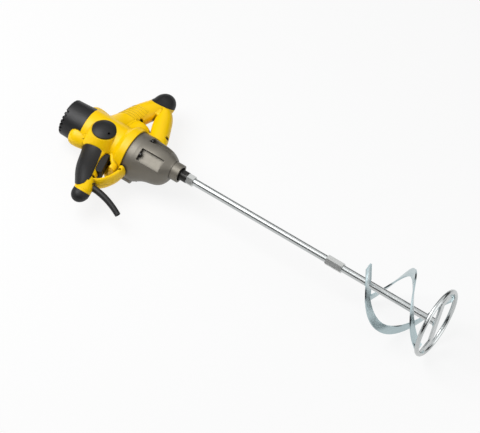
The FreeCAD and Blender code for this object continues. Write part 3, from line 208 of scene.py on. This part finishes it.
class StageSettings(bpy.types.PropertyGroup):
    """Where the camera stands and how the studio is lit."""

    azimuth: FloatProperty(
        name="Azimuth", description="Turn of the camera about Z", subtype="ANGLE",
        default=math.radians(25.3))
    elevation: FloatProperty(
        name="Elevation", description="Height of the camera above the floor", subtype="ANGLE",
        default=math.radians(49.2))
    roll: FloatProperty(
        name="Roll", description="Lean of the picture", subtype="ANGLE", default=math.radians(10.58))
    lens: FloatProperty(
        name="Lens", description="Focal length, long for a flat view", default=400.0, unit="CAMERA")
    sensor: FloatProperty(
        name="Sensor", description="Width of the sensor", default=36.0, unit="CAMERA")
    picture_width: FloatProperty(
        name="Picture width", description="What the picture spans at the origin", unit="LENGTH",
        default=0.8955)
    origin_column: FloatProperty(
        name="Origin column", description="Pixel column of the nose collar's middle", default=181.0)
    origin_row: FloatProperty(
        name="Origin row", description="Pixel row of the nose collar's middle", default=174.2)
    floor_size: FloatProperty(
        name="Floor size", description="Side of the floor", unit="LENGTH", default=40.0)
    wall_radius: FloatProperty(
        name="Wall radius", description="Radius of the dark wall", unit="LENGTH", default=2.6)
    wall_foot: FloatProperty(
        name="Wall foot", description="Height of the dark wall's lower edge", unit="LENGTH", default=0.10)
    wall_head: FloatProperty(
        name="Wall head", description="Height of the dark wall's upper edge", unit="LENGTH", default=1.7)
    key_place: FloatVectorProperty(
        name="Key place", description="Main lamp from the tool's middle: right, up and back in the picture",
        subtype="TRANSLATION", default=(-0.9, 1.1, 1.0))
    key_size: FloatProperty(
        name="Key size", description="Side of the main lamp", unit="LENGTH", default=1.2)
    key_power: FloatProperty(
        name="Key power", description="Power of the main lamp", unit="POWER", default=26.0)
    fill_place: FloatVectorProperty(
        name="Fill place", description="Side lamp from the tool's middle: right, up and back in the picture",
        subtype="TRANSLATION", default=(1.3, -0.3, 0.6))
    fill_size: FloatProperty(
        name="Fill size", description="Side of the side lamp", unit="LENGTH", default=1.0)
    fill_power: FloatProperty(
        name="Fill power", description="Power of the side lamp", unit="POWER", default=6.0)
    room_light: FloatProperty(
        name="Room light", description="Strength of the even light", default=0.42)


class Wire:
    """An output of a node; arithmetic on it adds Math nodes."""

    def __init__(self, finish, socket):
        self.finish = finish
        self.socket = socket

    def _math(self, operation, first, second):
        return self.finish.node("ShaderNodeMath", {"operation": operation}, {0: first, 1: second})

    def __add__(self, other):
        return self._math("ADD", self, other)

    def __radd__(self, other):
        return self._math("ADD", other, self)

    def __sub__(self, other):
        return self._math("SUBTRACT", self, other)

    def __rsub__(self, other):
        return self._math("SUBTRACT", other, self)

    def __mul__(self, other):
        return self._math("MULTIPLY", self, other)

    def __rmul__(self, other):
        return self._math("MULTIPLY", other, self)

    def __pow__(self, other):
        return self._math("POWER", self, other)


class Finish:
    """A node tree, with one way to add a node to it."""

    def __init__(self, tree):
        self.tree = tree
        tree.nodes.clear()

    def node(self, kind, settings=None, sockets=None, output=0):
        """Adds a node, sets it up, fills or links its sockets, and gives one of its outputs, if any."""
        made = self.tree.nodes.new(kind)
        for name, value in (settings or {}).items():
            setattr(made, name, value)
        for name, value in (sockets or {}).items():
            if isinstance(value, Wire):
                self.tree.links.new(value.socket, made.inputs[name])
            else:
                made.inputs[name].default_value = value
        return Wire(self, made.outputs[output]) if made.outputs else None

    def object_place(self):
        """Where a point is in the shared frame."""
        return self.node("ShaderNodeTexCoord", output="Object")

    def stretched(self, scale):
        """Object coordinates, stretched by a scale on each axis."""
        return self.node("ShaderNodeMapping", None, {"Vector": self.object_place(), "Scale": scale})

    def noise(self, place, scale, detail=3.0, roughness=0.55):
        """Soft noise from nought to one."""
        return self.node(
            "ShaderNodeTexNoise", None,
            {"Vector": place, "Scale": scale, "Detail": detail, "Roughness": roughness}, "Fac")

    def mixed(self, factor, first, second):
        """A colour between two, by a factor."""
        return self.node(
            "ShaderNodeMix", {"data_type": "RGBA"}, {0: factor, 6: first, 7: second}, 2)

    def varied(self, colour, mask, dark, light):
        """A colour that goes from a darker to a lighter tone of itself with the mask."""
        return self.mixed(mask, shade(colour, dark), shade(colour, light))

    def bump(self, height, strength, distance, normal=None):
        """Normals that follow a height, over the surface's own normals or the given ones."""
        sockets = {"Height": height, "Strength": strength, "Distance": distance}
        if normal is not None:
            sockets["Normal"] = normal
        return self.node("ShaderNodeBump", None, sockets)

    def rounded(self, radius):
        """Normals that round the sharp edges of a moulding by a radius."""
        return self.node("ShaderNodeBevel", {"samples": EDGE_SAMPLES}, {"Radius": radius})

    def crevice_shade_mask(self, distance):
        """Ambient occlusion as a mask for painted shade: one in the open, down to nought deep in a joint or
        under an edge.
        """
        return self.node(
            "ShaderNodeAmbientOcclusion", {"samples": EDGE_SAMPLES}, {"Distance": distance}, "AO")

    def surface(self, sockets):
        """Ends the tree in one plain surface shader."""
        shader = self.node("ShaderNodeBsdfPrincipled", None, sockets)
        self.node("ShaderNodeOutputMaterial", None, {"Surface": shader})


def shade(colour, share):
    """A colour times a share, as four numbers."""
    return (colour[0] * share, colour[1] * share, colour[2] * share, 1.0)


def new_finish(name):
    """A new material and the tree of its nodes."""
    material = bpy.data.materials.new(name)
    material.use_nodes = True
    return material, Finish(material.node_tree)


def moulded_plastic(name, colour, roughness, edge_radius, grain_strength):
    """Injection-moulded plastic: faint flow clouds, a fine eroded grain, soft edges and painted shade that
    darkens its creases and joints.
    """
    material, finish = new_finish(name)
    place = finish.object_place()
    clouds = finish.noise(place, scale=14.0)
    grain = finish.noise(place, scale=1400.0, detail=2.0)
    rub = finish.noise(place, scale=90.0, detail=5.0, roughness=0.65)
    skin = finish.varied(colour, clouds, dark=0.96, light=1.04)
    # Painted shade: the colour darkens towards this deep in creases, joints and under edges, by ambient
    # occlusion.
    crease_shade = shade(colour, 0.18)
    unshaded_share = finish.crevice_shade_mask(distance=0.005) ** CREVICE_SHADE_CURVE
    edges = finish.rounded(edge_radius)
    finish.surface({
        "Base Color": finish.mixed(unshaded_share, crease_shade, skin),
        "Roughness": roughness - 0.06 + 0.12 * rub,
        "Normal": finish.bump(grain, strength=grain_strength, distance=0.0004, normal=edges),
        "Specular IOR Level": SOFT_GLOSS,
    })
    return material


def soft_rubber(name, colour):
    """Overmoulded rubber: a matt skin with a fine stipple, faint dust and painted shade that darkens its
    creases and joints.
    """
    material, finish = new_finish(name)
    place = finish.object_place()
    stipple = finish.noise(place, scale=1900.0, detail=2.0)
    dust = finish.noise(place, scale=45.0, detail=5.0, roughness=0.7)
    skin = finish.varied(colour, dust, dark=0.85, light=1.2)
    # Painted shade: the colour darkens towards this deep in creases, joints and under edges, by ambient
    # occlusion.
    crease_shade = shade(colour, 0.25)
    finish.surface({
        "Base Color": finish.mixed(finish.crevice_shade_mask(distance=0.005), crease_shade, skin),
        "Roughness": 0.40 + 0.16 * dust,
        "Normal": finish.bump(stipple, strength=0.25, distance=0.0004),
        "Specular IOR Level": SOFT_GLOSS,
    })
    return material


def cast_metal(name, colour):
    """Die-cast aluminium with a sealed skin: soft edges, cast grain, flow marks and painted shade that
    darkens its creases and joints.
    """
    material, finish = new_finish(name)
    place = finish.object_place()
    flow = finish.noise(finish.stretched((18.0, 40.0, 40.0)), scale=1.0, detail=4.0, roughness=0.6)
    grain = finish.noise(place, scale=900.0)
    pits = finish.noise(place, scale=260.0, detail=4.0)
    skin = finish.varied(colour, flow, dark=0.88, light=1.12)
    # Painted shade: the colour darkens towards this deep in creases, joints and under edges, by ambient
    # occlusion.
    crease_shade = shade(colour, 0.2)
    relief = grain * 0.7 + pits * 0.3
    edges = finish.rounded(radius=0.0016)
    finish.surface({
        "Base Color": finish.mixed(finish.crevice_shade_mask(distance=0.006), crease_shade, skin),
        "Metallic": 0.5,
        "Roughness": 0.38 + 0.16 * pits,
        "Normal": finish.bump(relief, strength=0.22, distance=0.0005, normal=edges),
    })
    return material


def plated_steel(name, colour, roughness, streak):
    """Bright zinc on drawn steel: streaks along the drawing way and a faint bloom."""
    material, finish = new_finish(name)
    lines = finish.noise(finish.stretched(streak), scale=1.0, roughness=0.6)
    bloom = finish.noise(finish.object_place(), scale=38.0, detail=4.0, roughness=0.6)
    finish.surface({
        "Base Color": finish.varied(colour, bloom, dark=0.90, light=1.08),
        "Metallic": 1.0,
        "Roughness": roughness + 0.10 * lines + 0.05 * bloom,
        "Normal": finish.bump(lines, strength=0.015, distance=0.0002),
    })
    return material


def dull_metal(name, colour, roughness, metallic):
    """Machined metal inside the tool: turning marks and an oil film."""
    material, finish = new_finish(name)
    turning = finish.noise(finish.stretched((1500.0, 60.0, 60.0)), scale=1.0, detail=2.0)
    film = finish.noise(finish.object_place(), scale=70.0, detail=4.0)
    finish.surface({
        "Base Color": finish.varied(colour, film, dark=0.85, light=1.12),
        "Metallic": metallic,
        "Roughness": roughness + 0.14 * film,
        "Normal": finish.bump(turning, strength=0.12, distance=0.0003),
    })
    return material


def give(material, nodes):
    """Puts a material on CAD nodes."""
    for name in nodes:
        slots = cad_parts[name].data.materials
        slots.clear()
        slots.append(material)


def ring_mesh(name, points):
    """The mesh of a grid of points, rows by columns, closed along each row."""
    rows, columns = points.shape[:2]
    here = np.arange(rows * columns).reshape(rows, columns)
    beside = np.roll(here, -1, axis=1)
    faces = np.stack([here[:-1], beside[:-1], beside[1:], here[1:]], axis=-1).reshape(-1, 4)
    mesh = bpy.data.meshes.new(name)
    mesh.from_pydata(points.reshape(-1, 3).tolist(), [], faces.tolist())
    return mesh


def node_triangles(name):
    """The corners of a CAD node's triangles, as one array."""
    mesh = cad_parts[name].data
    mesh.calc_loop_triangles()
    places = np.empty(len(mesh.vertices) * 3)
    mesh.vertices.foreach_get("co", places)
    corners = np.empty(len(mesh.loop_triangles) * 3, dtype=np.int64)
    mesh.loop_triangles.foreach_get("vertices", corners)
    return places.reshape(-1, 3)[corners.reshape(-1, 3)]


def top_heights(names, low, counts, step):
    """The highest point of some nodes over each cell of a level grid.

    Triangles are cut in four until their sides are under half a cell. Those that look up give their
    plane's height at the middle of the cell they fall in, and the cell keeps the highest. A cell that
    nothing covers keeps a depth far below.
    """
    heights = np.full(counts, FAR_BELOW)
    for name in names:
        triangles = node_triangles(name)
        faced = np.cross(triangles[:, 1] - triangles[:, 0], triangles[:, 2] - triangles[:, 0])
        triangles = triangles[faced[:, 2] > LEAST_UPWARD * np.linalg.norm(faced, axis=1)]
        while len(triangles):
            sides = np.linalg.norm(triangles - np.roll(triangles, 1, axis=1), axis=2).max(axis=1)
            small = triangles[sides < step / 2]
            middles = small.mean(axis=1)
            cells = np.round((middles[:, :2] - low) / step).astype(int)
            faced = np.cross(small[:, 1] - small[:, 0], small[:, 2] - small[:, 0])
            inside = np.all((cells >= 0) & (cells < counts), axis=1)
            away = cells * step + low - middles[:, :2]
            level = middles[:, 2] - (faced[:, :2] * away).sum(axis=1) / faced[:, 2]
            np.maximum.at(heights, tuple(cells[inside].T), level[inside])
            large = triangles[sides >= step / 2]
            halves = (large + np.roll(large, -1, axis=1)) / 2
            a, b, c = large[:, 0], large[:, 1], large[:, 2]
            ab, bc, ca = halves[:, 0], halves[:, 1], halves[:, 2]
            quarters = ((a, ab, ca), (ab, b, bc), (ca, bc, c), (ab, bc, ca))
            triangles = np.concatenate([np.stack(corners, axis=1) for corners in quarters])
    return heights


def rolled_over(heights, radius, step):
    """What a ball rolled over a height field can't get under: its closing by the ball.

    Each height becomes the most of its neighbours' heights plus the ball's fall towards them, and
    then the least of the results minus that fall; the fall is sqrt(radius^2 - distance^2) - radius.
    """
    reach = int(radius / step)
    far = np.arange(-reach, reach + 1) * step
    apart = np.hypot(far[:, None], far[None, :])
    near = np.argwhere(apart < radius) - reach
    fall = np.sqrt(radius**2 - apart[tuple((near + reach).T)] ** 2) - radius
    risen = np.full_like(heights, FAR_BELOW)
    for (across, along), drop in zip(near, fall):
        risen = np.maximum(risen, np.roll(heights, (across, along), axis=(0, 1)) + drop)
    closed = np.full_like(heights, FAR_ABOVE)
    for (across, along), drop in zip(near, fall):
        closed = np.minimum(closed, np.roll(risen, (across, along), axis=(0, 1)) - drop)
    return closed


def widened(mask, cells):
    """A mask grown by some cells on every side."""
    grown = mask.copy()
    for across in range(-cells, cells + 1):
        for along in range(-cells, cells + 1):
            grown |= np.roll(mask, (across, along), axis=(0, 1))
    return grown


def beside_node(name, places, margin):
    """True for the places within a margin of a node's box, seen from above."""
    low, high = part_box(name)
    return np.all((places > np.array(low[:2]) - margin) & (places < np.array(high[:2]) + margin), axis=-1)


def cell_corners(grid):
    """The values of a grid at the four corners of each of its cells, going round."""
    return grid[:-1, :-1], grid[1:, :-1], grid[1:, 1:], grid[:-1, 1:]


def faded(usable, cells):
    """One well inside a mask, and down to nought at its edge as 3 s^2 - 2 s^3 over some cells."""
    inset = [~widened(~usable, count) for count in range(1, cells + 1)]
    share = sum(mask.astype(float) for mask in inset) / cells
    return share**2 * (3.0 - 2.0 * share)


def moulded_fillets(fillets, material):
    """Round fillets where the forms of the front shell meet.

    A ball is rolled over the shell from above. Where it can't reach the shell, its path is the
    fillet's skin. It fades out beside holes and other pieces, and stays a hair under the shell elsewhere.
    """
    step = fillets.step
    shell_low, shell_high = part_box("front_shell")
    border = np.array((fillets.radius, fillets.radius))
    low = np.array(shell_low[:2]) - border
    counts = tuple(((np.array(shell_high[:2]) + border - low) / step).astype(int) + 1)
    places = np.stack(np.meshgrid(*[np.arange(n) for n in counts], indexing="ij"), axis=-1) * step + low
    shell = top_heights(("front_shell",), low, counts, step)
    others = top_heights(FILLET_NEIGHBOURS, low, counts, step)
    raised = rolled_over(shell, fillets.radius, step) - shell
    keep_off = (others > shell - fillets.bury) | (raised > fillets.limit)
    keep_off |= beside_node("trigger", places, fillets.loop_margin)
    outside = shell < cad_low.z
    usable = ~(widened(keep_off, 1) | widened(outside, fillets.rim_cells))
    raised = np.where(usable, raised * faded(usable, fillets.fade_cells), 0.0)
    shown = raised > fillets.bury
    shown = widened(~widened(~shown, fillets.least_cells), fillets.least_cells)
    skin = shell + raised - fillets.bury
    kept = np.logical_and.reduce(cell_corners(usable)) & np.logical_or.reduce(cell_corners(shown))
    points = np.concatenate([places, skin[..., None]], axis=-1).reshape(-1, 3)
    number = np.arange(points.shape[0]).reshape(counts)
    faces = np.stack(cell_corners(number), axis=-1)[kept]
    used, faces = np.unique(faces, return_inverse=True)
    mesh = bpy.data.meshes.new("front_fillets")
    mesh.from_pydata(points[used].tolist(), [], faces.reshape(-1, 4).tolist())
    piece = dressed("front_fillets", mesh, material, "housing")
    wall = piece.modifiers.new("wall", "SOLIDIFY")
    wall.thickness = fillets.wall
    wall.offset = -1.0


def dressed(name, mesh, material, body):
    """The object of a finished mesh: doubles merged, a closed one's normals outwards, on its body."""
    work = bmesh.new()
    work.from_mesh(mesh)
    bmesh.ops.remove_doubles(work, verts=work.verts, dist=MERGE_DISTANCE)
    bmesh.ops.dissolve_degenerate(work, edges=work.edges, dist=EDGE_DISTANCE)
    if all(edge.is_manifold for edge in work.edges):
        bmesh.ops.recalc_face_normals(work, faces=work.faces)
    work.to_mesh(mesh)
    work.free()
    mesh.shade_smooth()
    mesh.materials.append(material)
    piece = bpy.data.objects.new(name, mesh)
    bpy.context.scene.collection.objects.link(piece)
    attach(piece, body)
    return piece


class MIXDRILL_OT_housing_finish(bpy.types.Operator):
    """Finish the moulded housing, the end cap and the trigger"""

    bl_idname = "mixdrill.housing_finish"
    bl_label = "Housing"

    def execute(self, context):
        colours = context.scene.mixdrill_colours
        yellow = moulded_plastic(
            "yellow_plastic", colours.yellow, roughness=0.36, edge_radius=0.0030, grain_strength=0.10)
        black = moulded_plastic(
            "black_plastic", colours.black, roughness=0.42, edge_radius=0.0010, grain_strength=0.22)
        give(yellow, YELLOW_NODES)
        give(black, BLACK_NODES)
        return {"FINISHED"}


class MIXDRILL_OT_front_fillets(bpy.types.Operator):
    """Round the creases between the forms of the front shell, in the shell's own finish"""

    bl_idname = "mixdrill.front_fillets"
    bl_label = "Front fillets"

    def execute(self, context):
        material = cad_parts["front_shell"].data.materials[0]
        moulded_fillets(context.scene.mixdrill_fillets, material)
        return {"FINISHED"}


class MIXDRILL_OT_rubber_finish(bpy.types.Operator):
    """Finish the bumpers, the grip pad and the boot"""

    bl_idname = "mixdrill.rubber_finish"
    bl_label = "Rubber"

    def execute(self, context):
        give(soft_rubber("black_rubber", context.scene.mixdrill_colours.rubber), RUBBER_NODES)
        return {"FINISHED"}


class MIXDRILL_OT_metal_finish(bpy.types.Operator):
    """Finish the casting, the spindle, the screws and the paddle"""

    bl_idname = "mixdrill.metal_finish"
    bl_label = "Metal"

    def execute(self, context):
        colours = context.scene.mixdrill_colours
        dark_steel = dull_metal("dark_steel", colours.dark_steel, roughness=0.30, metallic=0.7)
        bright_zinc = plated_steel(
            "bright_zinc", colours.zinc, roughness=0.18, streak=(6.0, 500.0, 500.0))
        blue_zinc = plated_steel("blue_zinc", colours.ribbon, roughness=0.16, streak=(60.0, 60.0, 60.0))
        dull_zinc = plated_steel(
            "dull_zinc", colours.fitting, roughness=0.30, streak=(60.0, 300.0, 300.0))
        give(cast_metal("cast_aluminium", colours.casting), CASTING_NODES)
        give(dark_steel, DARK_STEEL_NODES)
        give(bright_zinc, ZINC_NODES)
        give(blue_zinc, RIBBON_NODES)
        give(dull_zinc, FITTING_NODES)
        return {"FINISHED"}


def weld_places(sizes):
    """Where the ribbons and the cross bar meet the ring and the rod, from the nodes' own points.

    A point belongs to the ring's seam where it lies within the wire's radius and the reach of the
    ring's middle circle, and to the rod's seam where it lies within the rod's radius and the reach. A
    seam is parted into the points on the side of its first point and those across the axis from it.
    """
    ring_low, ring_high = (np.array(corner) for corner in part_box("paddle_ring"))
    wire = (ring_high[0] - ring_low[0]) / 2
    ring_x = (ring_high[0] + ring_low[0]) / 2
    ring_radius = (ring_high[1] - ring_low[1]) / 2 - wire
    rod_low, rod_high = (np.array(corner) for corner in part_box("lower_rod"))
    rod_radius = (rod_high[1] - rod_low[1]) / 2
    places = []
    for name in RIBBON_NODES + ("cross_bar",):
        points = node_triangles(name).reshape(-1, 3)
        out = np.hypot(points[:, 1], points[:, 2])
        at_ring = np.hypot(out - ring_radius, points[:, 0] - ring_x) < wire + sizes.reach
        at_rod = out < rod_radius + sizes.reach
        for seam in (points[at_ring], points[at_rod]):
            side = seam[:, 1:] @ seam[:1, 1:].sum(axis=0) > 0
            places += [part.mean(axis=0) for part in (seam[side], seam[~side]) if len(part)]
    return places


def weld_spot(name, place, sizes, material):
    """A run of molten metal: a ball with ripples, r(u, v) = R (1 + k sin 6u sin 5v), at a place."""
    turns = np.linspace(0.0, FULL_TURN, SPOT_COLUMNS, endpoint=False)
    tilts = np.linspace(0.0, FULL_TURN / 2, SPOT_ROWS)
    tilt, turn = np.meshgrid(tilts, turns, indexing="ij")
    ripples = np.sin(SPOT_RIPPLES_ROUND * turn) * np.sin(SPOT_RIPPLES_DOWN * tilt)
    swell = sizes.radius * (1.0 + sizes.ripple * ripples)
    points = np.stack(
        [np.sin(tilt) * np.cos(turn), np.sin(tilt) * np.sin(turn), np.cos(tilt)], axis=-1)
    mesh = ring_mesh(name, points * swell[..., None] + place)
    dressed(name, mesh, material, "spindle")


def weld_ring(sizes, material):
    """The seam round the end of the rod: a ring whose bead swells as 1 + k sin 16u.

    At turn u and bead angle v a point stands at x = end + r cos v and R + r sin v from the axis.
    """
    low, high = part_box("lower_rod")
    turns = np.linspace(0.0, FULL_TURN, BEAD_COLUMNS, endpoint=False)
    rounds = np.linspace(0.0, FULL_TURN, BEAD_ROWS)
    around, turn = np.meshgrid(rounds, turns, indexing="ij")
    bead = sizes.bead * (1.0 + sizes.ripple * np.sin(BEAD_RIPPLES * turn))
    out = (high.y - low.y) / 2 + bead * np.sin(around)
    points = np.stack([high.x + bead * np.cos(around), out * np.cos(turn), out * np.sin(turn)], axis=-1)
    dressed("weld_ring", ring_mesh("weld_ring", points), material, "spindle")


class MIXDRILL_OT_weld_spots(bpy.types.Operator):
    """Put weld metal where the paddle's pieces meet"""

    bl_idname = "mixdrill.weld_spots"
    bl_label = "Weld spots"

    def execute(self, context):
        sizes = context.scene.mixdrill_welds
        colours = context.scene.mixdrill_colours
        material = plated_steel(
            "weld_metal", colours.ribbon, roughness=0.30, streak=(300.0, 300.0, 300.0))
        for number, place in enumerate(weld_places(sizes)):
            weld_spot("weld_spot_%d" % number, place, sizes, material)
        weld_ring(sizes, material)
        return {"FINISHED"}


class MIXDRILL_OT_inner_finish(bpy.types.Operator):
    """Finish the motor, the gears and the other pieces inside"""

    bl_idname = "mixdrill.inner_finish"
    bl_label = "Inner pieces"

    def execute(self, context):
        colours = context.scene.mixdrill_colours
        ground_steel = dull_metal("ground_steel", colours.ground_steel, roughness=0.22, metallic=1.0)
        nylon = moulded_plastic(
            "nylon", colours.nylon, roughness=0.45, edge_radius=0.0006, grain_strength=0.12)
        give(ground_steel, GROUND_STEEL_NODES)
        give(dull_metal("copper", colours.copper, roughness=0.25, metallic=0.9), COPPER_NODES)
        give(dull_metal("brass", colours.brass, roughness=0.28, metallic=1.0), BRASS_NODES)
        give(soft_rubber("carbon", colours.carbon), CARBON_NODES)
        give(dull_metal("laminations", colours.lamination, roughness=0.40, metallic=0.8), LAMINATION_NODES)
        give(nylon, NYLON_NODES)
        return {"FINISHED"}


def camera_axes(stage):
    """The picture's right and up, and the way back to the camera, from azimuth, elevation and roll."""
    azimuth, elevation, roll = stage.azimuth, stage.elevation, stage.roll
    back = Vector((
        math.sin(azimuth) * math.cos(elevation), -math.cos(azimuth) * math.cos(elevation),
        math.sin(elevation)))
    level = Vector((math.cos(azimuth), math.sin(azimuth), 0.0))
    upright = back.cross(level)
    right = level * math.cos(roll) + upright * math.sin(roll)
    return right, back.cross(right), back


def place_camera(stage):
    """A long lens that puts the origin on its pixel at the picture's scale."""
    right, up, back = camera_axes(stage)
    metres = stage.picture_width / PHOTO_WIDTH
    aim = right * (PHOTO_WIDTH / 2 - stage.origin_column) * metres
    aim -= up * (PHOTO_HEIGHT / 2 - stage.origin_row) * metres
    data = bpy.data.cameras.new("camera")
    data.lens = stage.lens
    data.sensor_width = stage.sensor
    data.clip_end = stage.floor_size * 2
    camera = bpy.data.objects.new("camera", data)
    distance = stage.picture_width * stage.lens / stage.sensor
    turn = Matrix((right, up, back)).transposed().to_4x4()
    camera.matrix_world = Matrix.Translation(aim + back * distance) @ turn
    bpy.context.scene.collection.objects.link(camera)
    bpy.context.scene.camera = camera


def area_lamp(name, stage, lead, size, power):
    """A square soft lamp turned to the tool's middle, led away from it by right, up and back."""
    middle = (cad_low + cad_high) / 2
    place = middle.copy()
    for axis, length in zip(camera_axes(stage), lead):
        place += axis * length
    data = bpy.data.lights.new(name, "AREA")
    data.size = size
    data.energy = power
    lamp = bpy.data.objects.new(name, data)
    lamp.location = place
    lamp.rotation_mode = "QUATERNION"
    lamp.rotation_quaternion = (middle - place).to_track_quat("-Z", "Y")
    bpy.context.scene.collection.objects.link(lamp)


def studio_piece(name, mesh, material):
    """An object of the studio, which is no part of the tool."""
    mesh.materials.append(material)
    piece = bpy.data.objects.new(name, mesh)
    bpy.context.scene.collection.objects.link(piece)
    return piece


def dark_wall(stage):
    """A dark wall round the studio that draws lines on bright metal.

    At turn t and height h the wall stands at (r cos t, r sin t, h). The camera doesn't see it.
    """
    turns = np.linspace(0.0, FULL_TURN, WALL_COLUMNS, endpoint=False)
    heights = np.array((stage.wall_foot, stage.wall_head))
    points = np.empty((len(heights), len(turns), 3))
    points[..., 0] = stage.wall_radius * np.cos(turns)
    points[..., 1] = stage.wall_radius * np.sin(turns)
    points[..., 2] = heights[:, None]
    material, finish = new_finish("dark_wall")
    paint = finish.node("ShaderNodeBsdfDiffuse", None, {"Color": WALL_PAINT})
    finish.node("ShaderNodeOutputMaterial", None, {"Surface": paint})
    wall = studio_piece("dark_wall", ring_mesh("dark_wall", points), material)
    wall.visible_camera = False
    wall.visible_shadow = False


def seen_ray(finish):
    """One for a ray that shows the background: from the camera, a mirror or a glass."""
    kinds = [
        finish.node("ShaderNodeLightPath", output=name)
        for name in ("Is Camera Ray", "Is Glossy Ray", "Is Transmission Ray")
    ]
    total = kinds[0] + kinds[1] + kinds[2]
    return finish.node("ShaderNodeMath", {"operation": "MINIMUM"}, {0: total, 1: 1.0})


def light_room(strength):
    """An even world: white where it is seen, a plain level as light."""
    world = bpy.data.worlds.new("studio")
    world.use_nodes = True
    finish = Finish(world.node_tree)
    seen = seen_ray(finish)
    shader = finish.node(
        "ShaderNodeBackground", None,
        {"Color": WHITE, "Strength": strength + (1.0 - strength) * seen})
    finish.node("ShaderNodeOutputWorld", None, {"Surface": shader})
    bpy.context.scene.world = world


def pale_floor(stage):
    """A white floor under the tool that keeps a soft shadow."""
    half = stage.floor_size / 2
    level = cad_low.z
    corners = [(-half, -half, level), (half, -half, level), (half, half, level), (-half, half, level)]
    mesh = bpy.data.meshes.new("floor")
    mesh.from_pydata(corners, [], [(0, 1, 2, 3)])
    material, finish = new_finish("pale_floor")
    paint = finish.node("ShaderNodeBsdfDiffuse", None, {"Color": FLOOR_PAINT})
    glow = finish.node("ShaderNodeEmission", None, {"Color": WHITE, "Strength": 1.0})
    share = FLOOR_GLOW * seen_ray(finish)
    shader = finish.node("ShaderNodeMixShader", None, {0: share, 1: paint, 2: glow})
    finish.node("ShaderNodeOutputMaterial", None, {"Surface": shader})
    studio_piece("floor", mesh, material)


class MIXDRILL_OT_stage(bpy.types.Operator):
    """Set the camera, the lamps, the dark wall and the floor"""

    bl_idname = "mixdrill.stage"
    bl_label = "Stage"

    def execute(self, context):
        stage = context.scene.mixdrill_stage
        context.scene.view_settings.view_transform = "Standard"
        place_camera(stage)
        area_lamp("key_lamp", stage, stage.key_place, stage.key_size, stage.key_power)
        area_lamp("fill_lamp", stage, stage.fill_place, stage.fill_size, stage.fill_power)
        dark_wall(stage)
        light_room(stage.room_light)
        pale_floor(stage)
        return {"FINISHED"}


class MIXDRILL_PT_panel(bpy.types.Panel):
    """Lists the steps that dress the tool"""

    bl_label = "Mixing Drill"
    bl_idname = "MIXDRILL_PT_panel"
    bl_space_type = "VIEW_3D"
    bl_region_type = "UI"
    bl_category = "Mixing Drill"

    def draw(self, context):
        for operator in OPERATORS:
            self.layout.operator(operator.bl_idname)


OPERATORS = (
    MIXDRILL_OT_housing_finish,
    MIXDRILL_OT_front_fillets,
    MIXDRILL_OT_rubber_finish,
    MIXDRILL_OT_metal_finish,
    MIXDRILL_OT_weld_spots,
    MIXDRILL_OT_inner_finish,
    MIXDRILL_OT_stage,
)
CLASSES = (FinishColours, FilletSizes, WeldSizes, StageSettings) + OPERATORS + (MIXDRILL_PT_panel,)


def register():
    """Adds the classes, and hangs their values on the scene."""
    for kind in CLASSES:
        bpy.utils.register_class(kind)
    bpy.types.Scene.mixdrill_colours = PointerProperty(type=FinishColours)
    bpy.types.Scene.mixdrill_fillets = PointerProperty(type=FilletSizes)
    bpy.types.Scene.mixdrill_welds = PointerProperty(type=WeldSizes)
    bpy.types.Scene.mixdrill_stage = PointerProperty(type=StageSettings)


def unregister():
    """Takes away what register adds, in the other order."""
    del bpy.types.Scene.mixdrill_stage
    del bpy.types.Scene.mixdrill_welds
    del bpy.types.Scene.mixdrill_fillets
    del bpy.types.Scene.mixdrill_colours
    for kind in reversed(CLASSES):
        bpy.utils.unregister_class(kind)


def main():
    """Dresses the tool and sets the stage."""
    register()
    bpy.ops.mixdrill.housing_finish()
    bpy.ops.mixdrill.front_fillets()
    bpy.ops.mixdrill.rubber_finish()
    bpy.ops.mixdrill.metal_finish()
    bpy.ops.mixdrill.weld_spots()
    bpy.ops.mixdrill.inner_finish()
    bpy.ops.mixdrill.stage()


if __name__ == "__main__":
    main()
